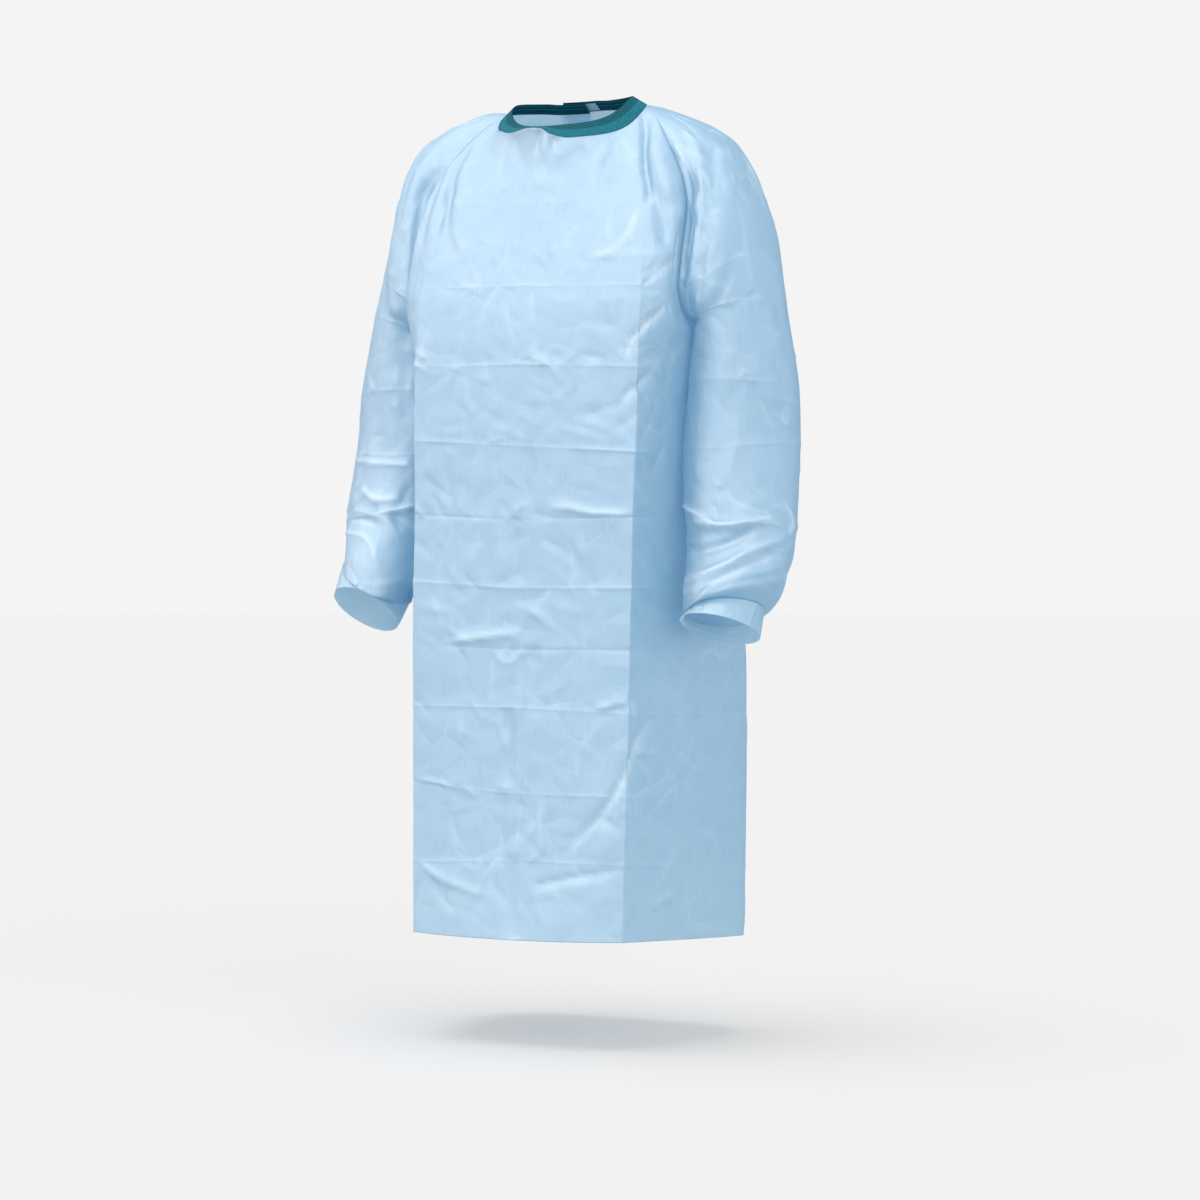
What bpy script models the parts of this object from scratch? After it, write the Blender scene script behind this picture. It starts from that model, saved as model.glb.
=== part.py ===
"""Isolation gown, worn form with nobody in it: raglan sleeves, bound neck, open back lapped at the neck.

Each cut piece is an open sheet through the sections in the tables below, given its wall by
Solidify.  Sizes in the tables are millimetres; X runs to the wearer's left, Y to the back, Z up,
and the origin is the middle of the neck opening.
"""

import math
from collections import namedtuple
from functools import partial

import bmesh
import bpy
import numpy as np

MM = 0.001
COLLECTION = "isolation_gown"

# Cloth
WALL = 1.2                 # solid that stands for the thin film-faced cloth
SEAM_GAP = 0.3             # between neighbouring pieces
SEAM_EASE = 1.2            # more than the wall's own corner needs, where a seam also twists
PATCH_WALL = 1.1           # hook and loop patches

# Neck opening: two rings, the seam (lower) and the bound edge (upper)
SEAM_RING_X, SEAM_RING_FRONT, SEAM_RING_BACK = 111.0, 62.0, 67.0
BOUND_RING_X, BOUND_RING_FRONT, BOUND_RING_BACK = 91.0, 48.0, 50.0
# The front panel bulges forward and up over the binding, right of its middle: a row every
# BULGE_STEP from BULGE_START towards the wearer's left
BulgeRow = namedtuple("BulgeRow", "forward up")
BULGE_START, BULGE_STEP = -111.0, 11.0
NECK_BULGE = [
    BulgeRow(0, 0), BulgeRow(1, 6), BulgeRow(2, 10), BulgeRow(3, 10), BulgeRow(4, 10.5),
    BulgeRow(6, 12), BulgeRow(8, 14), BulgeRow(9, 15.5), BulgeRow(9, 15.5), BulgeRow(8, 14),
    BulgeRow(4, 7), BulgeRow(2, 3), BulgeRow(0, 0.5), BulgeRow(0, 0),
]
BULGE_REACH = 1.6          # levels over which it fades out down the panel
# Angles on the neck ring, degrees from the wearer's left, positive towards the back
FOLD_ANGLE, BACK_FOLD_ANGLE = -11.0, 51.0
SLEEVE_NECK_ANGLES = (7.0, 13.0, 19.0, 25.0, 32.0)   # from the front raglan seam to the back one

# Centre back: the left panel laps outside the right one
LEFT_EDGE_X, RIGHT_EDGE_X = -45.0, -5.0
LAP_STEP = 2.4             # each panel moves this far off the common surface inside the lap
LAP_RAMP = 30.0            # width over which it does so
LAP_TILT = 45.0            # the step leans up this many degrees at the neck
LAP_LEAN_LOSS = 0.95       # share of the step that is square to the binding
PATCH_DROPS = (0.14, 0.5, 0.86)   # rows of a patch, as shares of the binding's width
LOOP_PATCH_X = (-41.0, 11.0)
HOOK_PATCH_X = (-43.0, -9.0)

ARMPIT = 10                # level at which front, back and sleeve meet
HEM = 17                   # last level of the body
SLEEVE_END = 17            # last level of the sleeve, at the cuff seam

# Levels run from the neck (0) past the armpit to the hem.  "fold" is the sharp crease that the
# packed gown keeps, at the side of its flat front.
FrontRow = namedtuple("FrontRow", "centre_y centre_z fold_x fold_y fold_z bow")
FRONT_ROWS = [
    FrontRow(-62, -40, 109, -12, -6, 0),
    FrontRow(-70, -66, 126, -32, -36, 1),
    FrontRow(-80, -98, 138, -56, -74, 2),
    FrontRow(-91, -132, 149, -78, -114, 3),
    FrontRow(-103, -166, 158, -97, -154, 4),
    FrontRow(-115, -200, 164, -112, -192, 4),
    FrontRow(-127, -236, 168, -123, -231, 4),
    FrontRow(-137, -272, 171, -131, -269, 4),
    FrontRow(-142, -304, 171, -135, -302, 3),
    FrontRow(-145, -332, 171, -138, -331, 2),
    FrontRow(-148, -362, 171, -140, -361, 0),
    FrontRow(-152, -430, 171, -142, -430, -2),
    FrontRow(-156, -520, 168, -146, -520, 0),
    FrontRow(-160, -620, 167, -149, -620, 4),
    FrontRow(-164, -720, 166, -152, -720, 8),
    FrontRow(-169, -840, 165, -155, -840, 9),
    FrontRow(-174, -980, 162, -159, -980, 8),
    FrontRow(-181, -1126, 160, -162, -1124, 6),
]
BackRow = namedtuple("BackRow", "centre_y centre_z fold_x fold_y fold_z bow")
BACK_ROWS = [
    BackRow(67, 17, 70, 52, 17, 0),
    BackRow(74, -6, 86, 62, -2, 2),
    BackRow(85, -38, 100, 78, -30, 3),
    BackRow(97, -74, 116, 94, -64, 4),
    BackRow(109, -112, 131, 108, -100, 5),
    BackRow(119, -152, 144, 118, -142, 6),
    BackRow(127, -192, 153, 125, -184, 6),
    BackRow(134, -234, 159, 130, -228, 5),
    BackRow(139, -276, 163, 134, -272, 4),
    BackRow(143, -316, 165, 137, -314, 2),
    BackRow(146, -356, 166, 139, -355, 0),
    BackRow(149, -430, 166, 142, -430, 0),
    BackRow(153, -520, 166, 146, -520, 2),
    BackRow(158, -620, 166, 150, -620, 5),
    BackRow(163, -720, 166, 154, -720, 8),
    BackRow(168, -840, 166, 158, -840, 9),
    BackRow(174, -980, 166, 162, -980, 8),
    BackRow(180, -1127, 166, 166, -1127, 6),
]
SeamRow = namedtuple("SeamRow", "x y z")
RAGLAN_FRONT = [           # levels 1 to the armpit; both seams start on the neck ring
    SeamRow(132, -8, -6), SeamRow(154, -24, -32), SeamRow(174, -38, -62),
    SeamRow(190, -46, -92), SeamRow(199, -50, -130), SeamRow(200, -60, -172), SeamRow(199, -70, -214),
    SeamRow(197, -72, -256), SeamRow(196, -46, -288), SeamRow(196, 4, -300),
]
RAGLAN_BACK = [
    SeamRow(120, 50, 6), SeamRow(145, 60, -14), SeamRow(167, 67, -42),
    SeamRow(183, 71, -76), SeamRow(193, 74, -114), SeamRow(198, 77, -156), SeamRow(199, 80, -198),
    SeamRow(198, 80, -242), SeamRow(196, 54, -280), SeamRow(196, 4, -300),
]
SIDE_SEAM = [              # from the armpit to the hem, one row a level
    SeamRow(196, 4, -300), SeamRow(185, 12, -400), SeamRow(195, 36, -500), SeamRow(213, 60, -610),
    SeamRow(226, 76, -718), SeamRow(228, 80, -840), SeamRow(226, 80, -980), SeamRow(224, 80, -1133),
]
# Sleeve head: points in front of, on top of and behind the arm, levels 1 to the armpit
YokeRow = namedtuple("YokeRow", "front_x front_y front_z top_x top_y top_z back_x back_y back_z")
SLEEVE_YOKE = [
    YokeRow(134, 4, 1, 134, 18, 6, 129, 35, 8),
    YokeRow(162, -8, -16, 164, 16, -5, 157, 42, -6),
    YokeRow(188, -20, -38, 193, 16, -18, 186, 50, -24),
    YokeRow(212, -30, -62, 220, 16, -34, 211, 56, -44),
    YokeRow(231, -42, -92, 243, 16, -56, 231, 62, -72),
    YokeRow(243, -54, -128, 261, 15, -86, 247, 68, -108),
    YokeRow(250, -62, -168, 277, 14, -124, 259, 74, -152),
    YokeRow(253, -66, -212, 291, 12, -168, 266, 76, -200),
    YokeRow(251, -68, -254, 303, 10, -218, 265, 75, -246),
    YokeRow(249, -66, -292, 313, 8, -272, 263, 71, -290),
]
# The wearer's right shoulder stands higher and squarer: its rows above are moved this much, the
# points in front and behind less than the top
LiftRow = namedtuple("LiftRow", "out up")
RIGHT_SHOULDER_LIFT = [
    LiftRow(4, 12), LiftRow(6, 16), LiftRow(9, 18), LiftRow(13, 17), LiftRow(13, 10),
    LiftRow(6, 3), LiftRow(0, 0), LiftRow(-2, -1), LiftRow(-1, 0), LiftRow(2, 0),
]
SIDE_LIFT = 0.75
# Sleeve below the armpit: closed sections; "skew" turns the long way of the section outwards and
# back, "tilt" leans it forward with the forearm, "roll" lifts its inner side.  The right sleeve is
# pushed up its arm, and its end is turned out.
TubeRow = namedtuple("TubeRow", "x y z half_x half_y skew tilt roll")
SLEEVE_TUBE = {
    "left": [
        TubeRow(264, -4, -372, 69, 66, 7, 0, 0),
        TubeRow(264, -9, -440, 74, 66, 8, 2, 0),
        TubeRow(268, -22, -502, 75, 62, 8, 6, 0),
        TubeRow(275, -36, -558, 72, 59, 8, 11, 0),
        TubeRow(279, -50, -615, 69, 57, 6, 14, -4),
        TubeRow(278, -69, -671, 65, 60, 4, 18, -12),
        TubeRow(271, -77, -686, 51, 46, 2, 21, -10),
    ],
    "right": [
        TubeRow(265, -4, -372, 69, 66, 7, 0, 0),
        TubeRow(265, -9, -440, 75, 66, 8, 2, 0),
        TubeRow(268, -22, -500, 75, 62, 8, 6, 0),
        TubeRow(273, -36, -550, 70, 59, 8, 11, 0),
        TubeRow(269, -54, -592, 62, 55, 6, 17, -5),
        TubeRow(269, -67, -626, 58, 54, 4, 22, -14),
        TubeRow(270, -74, -644, 50, 46, 2, 30, -19),
    ],
}
CUFF_TUBE = {
    "left": [
        SLEEVE_TUBE["left"][-1],
        TubeRow(270, -85, -698, 52, 48, 2, 22, -4),
        TubeRow(269, -92, -708, 53, 49, 2, 23, 3),
    ],
    "right": [
        SLEEVE_TUBE["right"][-1],
        TubeRow(273, -85, -664, 49, 45, 2, 33, -15),
        TubeRow(276, -95, -683, 48, 43, 2, 35, -11),
    ],
}
# The largest folds: a valley (negative height) or ridge from one place on the piece to another.
# "across" counts 0 at centre front or back, 1 at the packed fold, 2 at the seam; on a sleeve 0 is
# the front seam, 2 the top of the arm and 4 the back seam.
Fold = namedtuple("Fold", "across_0 level_0 across_1 level_1 height width")
FRONT_FOLDS_LEFT = [       # the wearer's left half
    Fold(1.10, 0.3, 1.12, 4.3, -7, 13), Fold(1.45, 4.6, 1.35, 6.2, -5, 14),
    Fold(0.62, 0.9, 0.50, 3.6, -3, 14), Fold(1.55, 1.5, 1.45, 4.0, 4, 12),
]
FRONT_FOLDS_RIGHT = [
    Fold(1.05, 0.4, 1.25, 3.6, -6, 14), Fold(1.55, 1.2, 1.50, 4.4, -6, 12),
    Fold(1.35, 3.2, 1.05, 6.4, 4, 14),
]
BACK_FOLDS = [
    Fold(1.25, 1.0, 1.15, 4.6, -5, 16), Fold(1.60, 3.5, 1.45, 7.0, -5, 16),
    Fold(0.55, 0.8, 0.62, 3.6, -3, 16),
]
SLEEVE_FOLDS = [
    Fold(0.32, 4.2, 0.22, 8.2, -9, 11), Fold(0.95, 4.8, 0.62, 8.0, -7, 12),
    Fold(1.25, 5.8, 0.95, 9.4, -6, 13), Fold(1.50, 7.6, 1.20, 11.6, 4, 13),
    Fold(0.50, 9.7, 0.52, 11.8, 9, 24),
    Fold(3.40, 4.6, 3.60, 8.4, -7, 13), Fold(2.85, 6.2, 3.20, 10.0, -5, 15),
    Fold(0.70, 13.9, 1.70, 14.3, 5, 9), Fold(0.55, 14.9, 1.60, 14.7, -5, 9),
    Fold(1.75, 13.4, 2.30, 14.6, -4, 10), Fold(2.60, 14.2, 3.50, 14.5, 5, 10),
]

# Mesh
YOKE_STEP, BODY_STEP, SLEEVE_STEP = 0.5, 1.0, 0.5   # levels between rows of vertices
BODY_COLUMN = 0.2                                   # across, between columns
SLEEVE_COLUMN = 4 / 18

Finish = namedtuple("Finish", "name rgb roughness")
CLOTH = Finish("film_faced_cloth", (0.60, 0.79, 0.90), 0.45)
BINDING = Finish("knit_binding", (0.03, 0.27, 0.32), 0.8)
PATCH = Finish("hook_and_loop", (0.33, 0.48, 0.60), 0.9)


def reset_scene():
    """An empty scene with one collection for the gown."""
    for old in list(bpy.data.objects):
        bpy.data.objects.remove(old)
    collection = bpy.data.collections.new(COLLECTION)
    bpy.context.scene.collection.children.link(collection)
    return collection


def make_material(piece, finish):
    material = bpy.data.materials.new(f"{piece}_{finish.name}")
    material.use_nodes = True
    shader = material.node_tree.nodes["Principled BSDF"]
    shader.inputs["Base Color"].default_value = (*finish.rgb, 1.0)
    shader.inputs["Roughness"].default_value = finish.roughness
    shader.inputs["Metallic"].default_value = 0.0
    return material


def read_row(table, level):
    """The table's values at a level between its rows, on a smooth curve through them."""
    rows = np.array(table, float)
    last = len(rows) - 1
    base = min(int(level), last - 1)
    t = level - base
    before, here, there, after = (rows[min(max(k, 0), last)] for k in range(base - 1, base + 3))
    bend = 2 * before - 5 * here + 4 * there - after
    return here + 0.5 * t * (there - before + t * (bend + t * (3 * (here - there) + after - before)))


def smooth_step(value):
    t = min(max(value, 0.0), 1.0)
    return t * t * (3 - 2 * t)


# ---------------------------------------------------------------- neck rings

def seam_ring_height(y):
    """The neck seam dips at the front and lies high round the back."""
    return -10.5 + 28.0 * math.tanh((y + 17.0) / 28.0)


def bound_ring_height(y):
    return 4.0 + 24.0 * math.tanh((y + 20.0) / 22.0)


def seam_ring(angle):
    turn = math.radians(angle)
    half_y = SEAM_RING_BACK if angle > 0 else SEAM_RING_FRONT
    y = half_y * math.sin(turn)
    return np.array([SEAM_RING_X * math.cos(turn), y, seam_ring_height(y)])


def bound_ring(seam_point):
    """The point of the bound edge in line with a point of the neck seam, lapped as the back is."""
    x = seam_point[0] / SEAM_RING_X
    behind = seam_point[1] > 0
    sine = math.sqrt(max(1 - x * x, 0.0)) * (1 if behind else -1)
    seam_y = sine * (SEAM_RING_BACK if behind else SEAM_RING_FRONT)
    bound_y = sine * (BOUND_RING_BACK if behind else BOUND_RING_FRONT)
    bound = np.array([BOUND_RING_X * x, bound_y, bound_ring_height(bound_y)])
    if behind:
        bound += seam_point - (seam_point[0], seam_y, seam_ring_height(seam_y))
    return bound


def neck_bulge(x, level):
    """How far the front panel bulges forward and up over the binding."""
    place = min(max((x - BULGE_START) / BULGE_STEP, 0.0), len(NECK_BULGE) - 1)
    forward, up = read_row(NECK_BULGE, place)
    return np.array([0.0, -forward, up]) * max(1 - level / BULGE_REACH, 0.0) ** 2


def lap_direction(level):
    """Off the common surface in the lap: leaning up at the neck, level with the floor below it."""
    lean = math.radians(LAP_TILT) * (1 - smooth_step(level / 3))
    return np.array([0.0, math.cos(lean), math.sin(lean)])


# ---------------------------------------------------------------- surfaces

def raglan_seam(facing, level):
    """The front (facing -1) or back (1) raglan seam, from the neck ring to the armpit."""
    if facing < 0:
        return read_row([seam_ring(SLEEVE_NECK_ANGLES[0]), *RAGLAN_FRONT], level)
    return read_row([seam_ring(SLEEVE_NECK_ANGLES[-1]), *RAGLAN_BACK], level)


def panel_edge(facing, level):
    """The panel's outer edge: the raglan seam down to the armpit, then the side seam."""
    if level <= ARMPIT:
        return raglan_seam(facing, level)
    return read_row(SIDE_SEAM, level - ARMPIT)


def panel_point(rows, facing, across, level):
    """A front or back panel's surface on the wearer's left; facing is -1 front, 1 back."""
    centre_y, centre_z, fold_x, fold_y, fold_z, bow = read_row(rows, level)
    if across <= 1:
        share = abs(across)
        return np.array([
            fold_x * across,
            centre_y + (fold_y - centre_y) * share ** 2.2,
            centre_z + (fold_z - centre_z) * share ** 2.0,
        ])
    fold = np.array([fold_x, fold_y, fold_z])
    run = panel_edge(facing, level) - fold
    share = across - 1
    outward = np.array([abs(run[1]), facing * abs(run[0]), 0.0]) / max(np.linalg.norm(run[:2]), 1.0)
    return fold + run * share + outward * bow * 4 * share * (1 - share)


def ease_to_neck(point, start_row, ring_point, level, reach=2.0):
    """Near the neck the panel bends to the neck ring."""
    if level >= reach:
        return point
    return point + (ring_point - start_row) * (1 - level / reach) ** 2


def front_point(across, level):
    side = math.copysign(1.0, across)
    share = abs(across)
    point = panel_point(FRONT_ROWS, -1, share, level)
    if share <= 1:
        angle = -90 + (90 + FOLD_ANGLE) * share
    else:
        angle = FOLD_ANGLE + (SLEEVE_NECK_ANGLES[0] - FOLD_ANGLE) * (share - 1)
    start = panel_point(FRONT_ROWS, -1, share, 0)
    point = ease_to_neck(point, start, seam_ring(angle), level) * (side, 1, 1)
    return point + neck_bulge(point[0], level)


def back_point(across, level, lap):
    """The back on the wearer's left; across runs past 0 into the lap, lap is the step off it."""
    point = panel_point(BACK_ROWS, 1, across, level)
    if across <= 1:
        angle = 90 - (90 - BACK_FOLD_ANGLE) * across
    else:
        angle = BACK_FOLD_ANGLE + (SLEEVE_NECK_ANGLES[-1] - BACK_FOLD_ANGLE) * (across - 1)
    start = panel_point(BACK_ROWS, 1, across, 0)
    return ease_to_neck(point, start, seam_ring(angle), level) + lap * lap_direction(level)


def tube_points(row):
    """Inner, front, outer and back points of a closed sleeve section."""
    x, y, z, half_x, half_y, skew, tilt, roll = row
    lean, turn = math.tan(math.radians(tilt)), math.tan(math.radians(roll))
    offsets = [(-half_x, -skew), (-skew, -half_y), (half_x, skew), (skew, half_y)]
    return np.array([(x + dx, y + dy, z - dy * lean - dx * turn) for dx, dy in offsets])


def sleeve_yoke(side):
    """The three points of each row above the armpit, lifted at the right shoulder."""
    rows = np.array(SLEEVE_YOKE, float)
    if side == "right":
        for row, (out, up) in zip(rows, RIGHT_SHOULDER_LIFT):
            row += np.outer((SIDE_LIFT, 1, SIDE_LIFT), (out, 0, up)).reshape(-1)
    return list(rows)


def sleeve_controls(side, level):
    """Five points round the sleeve, from the front seam over the arm to the back seam."""
    tube = [tube_points(row) for row in SLEEVE_TUBE[side]]
    if level <= ARMPIT:
        first, last = raglan_seam(-1, level), raglan_seam(1, level)
    else:
        first = last = read_row([RAGLAN_FRONT[-1]] + [points[0] for points in tube], level - ARMPIT)
    neck = np.concatenate([seam_ring(angle) for angle in SLEEVE_NECK_ANGLES[1:-1]])
    rows = [neck, *sleeve_yoke(side), *(points[1:].reshape(-1) for points in tube)]
    middle = read_row(rows, level).reshape(3, 3)
    return np.array([first, *middle, last])


def round_curve(points, across, closed, fullness):
    """A smooth curve through the points; across counts them."""
    slopes = np.zeros_like(points)
    slopes[1:-1] = (points[2:] - points[:-2]) / 2 * fullness
    if closed:
        slopes[0] = slopes[-1] = (points[1] - points[-2]) / 2 * fullness
    else:
        slopes[0] = 1.5 * (points[1] - points[0]) - 0.5 * slopes[1]
        slopes[-1] = 1.5 * (points[-1] - points[-2]) - 0.5 * slopes[-2]
    base = min(int(across), len(points) - 2)
    t = across - base
    start, end = points[base], points[base + 1]
    return (start * (1 + 2 * t) * (1 - t) ** 2 + end * t * t * (3 - 2 * t)
            + slopes[base] * t * (1 - t) ** 2 - slopes[base + 1] * t * t * (1 - t))


def sleeve_point(side, across, level):
    """A sleeve's surface, worked out on the wearer's left."""
    closed = level >= ARMPIT
    fullness = 1.15 + 0.45 * smooth_step(level / ARMPIT)
    return round_curve(sleeve_controls(side, level), across, closed, fullness)


def cuff_point(side, across, level):
    rows = [tube_points(row) for row in CUFF_TUBE[side]]
    inner, front, outer, back = read_row(rows, level)
    return round_curve(np.array([inner, front, outer, back, inner]), across, True, 1.6)


# ---------------------------------------------------------------- sheets

def sheet(surface, across_values, levels):
    """Points of a surface, one row of the array a level."""
    return np.array([[surface(across, level) for across in across_values] for level in levels])


def unit(vectors):
    return vectors / np.maximum(np.linalg.norm(vectors, axis=-1, keepdims=True), 1e-6)


def outward_normals(points, facing):
    along = np.gradient(points, axis=0)
    across = np.gradient(points, axis=1)
    return unit(np.cross(along, across)) * facing


def distance_to_line(points, line):
    nearest = np.full(points.shape[:2], np.inf)
    for start, end in zip(line[:-1], line[1:]):
        run = end - start
        share = np.clip(((points - start) @ run) / (run @ run), 0, 1)
        nearest = np.minimum(nearest, np.linalg.norm(points - start - share[..., None] * run, axis=2))
    return nearest


def add_folds(points, surface, folds, across_values, levels, edges, facing=1):
    """Push the sheet out or in along its fold lines, fading out at its side edges and the neck."""
    side_fade = [smooth_step(min(a - edges[0], edges[1] - a) / 0.25) for a in across_values]
    neck_fade = [smooth_step(level / 0.8) for level in levels]
    height = np.zeros(points.shape[:2])
    for fold in folds:
        shares = np.linspace(0, 1, 7)
        line = [surface(fold.across_0 + (fold.across_1 - fold.across_0) * s,
                        fold.level_0 + (fold.level_1 - fold.level_0) * s) for s in shares]
        height += fold.height * np.exp(-(distance_to_line(points, line) / fold.width) ** 2)
    height *= np.outer(neck_fade, side_fade)
    return points + outward_normals(points, facing) * height[..., None]


def into_piece(edge, inner):
    """Directions square to an edge, along the cloth into its piece."""
    along = unit(np.gradient(edge, axis=0))
    into = inner - edge
    return unit(into - along * np.sum(into * along, axis=1, keepdims=True))


def open_seam(edge_a, inner_a, edge_b, inner_b):
    """Draw two meeting edges apart so that their walls clear each other by the seam gap."""
    apart = into_piece(edge_a, inner_a) - into_piece(edge_b, inner_b)
    flatness = np.linalg.norm(apart, axis=1, keepdims=True) / 2
    corner = WALL / 2 * np.sqrt(np.maximum(1 - flatness ** 2, 0.0))
    shift = unit(apart) * (SEAM_GAP / 2 + SEAM_EASE * corner)
    edge_a += shift
    edge_b -= shift


def weld_ends(ring):
    """Bring the first and last points of a closed ring back together."""
    ring[0] = ring[-1] = (ring[0] + ring[-1]) / 2


def mirrored(points):
    return points * (-1, 1, 1)


def steps(first, last, step):
    return list(np.linspace(first, last, round(abs(last - first) / step) + 1))


def body_levels():
    return steps(0, ARMPIT, YOKE_STEP) + steps(ARMPIT, HEM, BODY_STEP)[1:]


def sleeve_levels():
    return steps(0, ARMPIT, YOKE_STEP) + steps(ARMPIT, SLEEVE_END, SLEEVE_STEP)[1:]


def front_sheet():
    across = steps(-2, 2, BODY_COLUMN)
    points = sheet(front_point, across, body_levels())
    folds = FRONT_FOLDS_LEFT + [fold._replace(across_0=-fold.across_0, across_1=-fold.across_1)
                                for fold in FRONT_FOLDS_RIGHT]
    return add_folds(points, front_point, folds, across, body_levels(), (-2, 2))


def back_sheet(edge_x, lap_sign):
    """A back panel on the wearer's left that ends at edge_x and steps out or in at the lap."""
    def surface(across, level):
        fold_x = read_row(BACK_ROWS, level)[2]
        reach = edge_x / fold_x + across / 2 * (2 - edge_x / fold_x)
        x = fold_x * reach
        ramp_end = (LOOP_PATCH_X[1] if lap_sign > 0 else -LEFT_EDGE_X) + LAP_RAMP
        lap = lap_sign * LAP_STEP * smooth_step((ramp_end - x) / LAP_RAMP)
        return back_point(reach, level, lap)
    across = steps(0, 2, 2 / 11)
    points = sheet(surface, across, body_levels())
    return add_folds(points, surface, BACK_FOLDS, across, body_levels(), (-0.5, 2), -1)


def sleeve_sheet(side):
    across = steps(0, 4, SLEEVE_COLUMN)
    surface = partial(sleeve_point, side)
    points = sheet(surface, across, sleeve_levels())
    return add_folds(points, surface, SLEEVE_FOLDS, across, sleeve_levels(), (0, 4))


def cuff_sheet(side):
    return sheet(partial(cuff_point, side), steps(0, 4, SLEEVE_COLUMN), steps(0, 2, 1))


def binding_sheet(neck_edge):
    """Bias binding from the neck seam to the bound edge, in line with the panels' points."""
    top = np.array([bound_ring(point) for point in neck_edge])
    return np.array([top, (top + neck_edge) / 2, neck_edge.copy()])


# ---------------------------------------------------------------- solids

def add_sheet(name, points, wall, finish, collection, closed=False):
    """Object of one grid of points, welded into a tube where closed, with its wall."""
    rows, columns = points.shape[:2]
    shape = bmesh.new()
    bmesh.ops.create_grid(shape, x_segments=columns - 1, y_segments=rows - 1, size=0.5)
    for vertex in shape.verts:
        column = round((vertex.co.x + 0.5) * (columns - 1))
        row = round((vertex.co.y + 0.5) * (rows - 1))
        vertex.co = points[row, column] * MM
    if closed:
        bmesh.ops.remove_doubles(shape, verts=shape.verts, dist=0.00001)
    bmesh.ops.recalc_face_normals(shape, faces=shape.faces)
    mesh = bpy.data.meshes.new(name)
    shape.to_mesh(mesh)
    shape.free()
    mesh.shade_smooth()
    mesh.set_sharp_from_angle(angle=math.radians(30))
    thing = bpy.data.objects.new(name, mesh)
    mesh.materials.append(make_material(name, finish))
    collection.objects.link(thing)
    solid = thing.modifiers.new("wall", "SOLIDIFY")
    solid.thickness = wall * MM
    solid.offset = 0.0


def patch_sheet(binding_end, span, side):
    """A patch made from the points of one end of the binding, in order of x: side 1 lies on the
    left end's inner face, -1 on the right end's outer face."""
    bound, seam = binding_end[0], binding_end[-1]
    inside = (seam[:, 0] > span[0]) & (seam[:, 0] < span[1])
    places = [span[0], *seam[inside, 0], span[1]]
    lines = [np.array([np.interp(places, seam[:, 0], line[:, axis]) for axis in range(3)]).T
             for line in (bound, seam)]
    step = (WALL / 2 + SEAM_GAP + PATCH_WALL / 2) / LAP_LEAN_LOSS
    return np.array([lines[0] + (lines[1] - lines[0]) * drop for drop in PATCH_DROPS]
                    ) - side * step * lap_direction(0)


def join_seams(front, backs, sleeves, cuffs):
    """Open every seam between neighbouring pieces; [left, right] order."""
    yoke = len(steps(0, ARMPIT, YOKE_STEP))
    for side, (back, sleeve, cuff) in enumerate(zip(backs, sleeves, cuffs)):
        edge, inner = (-1, -2) if side == 0 else (0, 1)
        open_seam(front[:yoke, edge], front[:yoke, inner], sleeve[:yoke, 0], sleeve[:yoke, 1])
        open_seam(back[:yoke, -1], back[:yoke, -2], sleeve[:yoke, -1], sleeve[:yoke, -2])
        open_seam(front[yoke - 1:, edge], front[yoke - 1:, inner],
                  back[yoke - 1:, -1], back[yoke - 1:, -2])
        open_seam(sleeve[-1], sleeve[-2], cuff[0], cuff[1])
        for ring in (sleeve[yoke - 1], sleeve[-1], cuff[0]):
            weld_ends(ring)


def bind_neck(front, backs, sleeves):
    """The binding along all neck edges, from the left panel's lapped edge round to the right's."""
    pieces = [backs[0], sleeves[0][:, ::-1], front[:, ::-1], sleeves[1], backs[1][:, ::-1]]
    edge = np.concatenate([pieces[0][0]] + [piece[0, 1:] for piece in pieces[1:]])
    binding = binding_sheet(edge)
    start = 0
    for piece in pieces:
        end = start + piece.shape[1]
        open_seam(piece[0], piece[1], binding[-1, start:end], binding[-2, start:end])
        start = end - 1
    return binding


def build():
    collection = reset_scene()
    front = front_sheet()
    backs = [back_sheet(LEFT_EDGE_X, 1), mirrored(back_sheet(-RIGHT_EDGE_X, -1))]
    sleeves = [sleeve_sheet("left"), mirrored(sleeve_sheet("right"))]
    cuffs = [cuff_sheet("left"), mirrored(cuff_sheet("right"))]
    binding = bind_neck(front, backs, sleeves)
    join_seams(front, backs, sleeves, cuffs)

    add_sheet("front_panel", front, WALL, CLOTH, collection)
    for side, back, sleeve, cuff in zip(("left", "right"), backs, sleeves, cuffs):
        add_sheet(f"back_panel_{side}", back, WALL, CLOTH, collection)
        add_sheet(f"sleeve_{side}", sleeve, WALL, CLOTH, collection, closed=True)
        add_sheet(f"cuff_{side}", cuff, WALL, CLOTH, collection, closed=True)
    add_sheet("neck_binding", binding, WALL, BINDING, collection)
    width = backs[0].shape[1]
    loop = patch_sheet(binding[:, :width], LOOP_PATCH_X, 1)
    hook = patch_sheet(binding[:, -width:], HOOK_PATCH_X, -1)
    add_sheet("loop_patch", loop, PATCH_WALL, PATCH, collection)
    add_sheet("hook_patch", hook, PATCH_WALL, PATCH, collection)


build()
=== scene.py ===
import math
import random
from collections import namedtuple
from functools import partial

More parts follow.
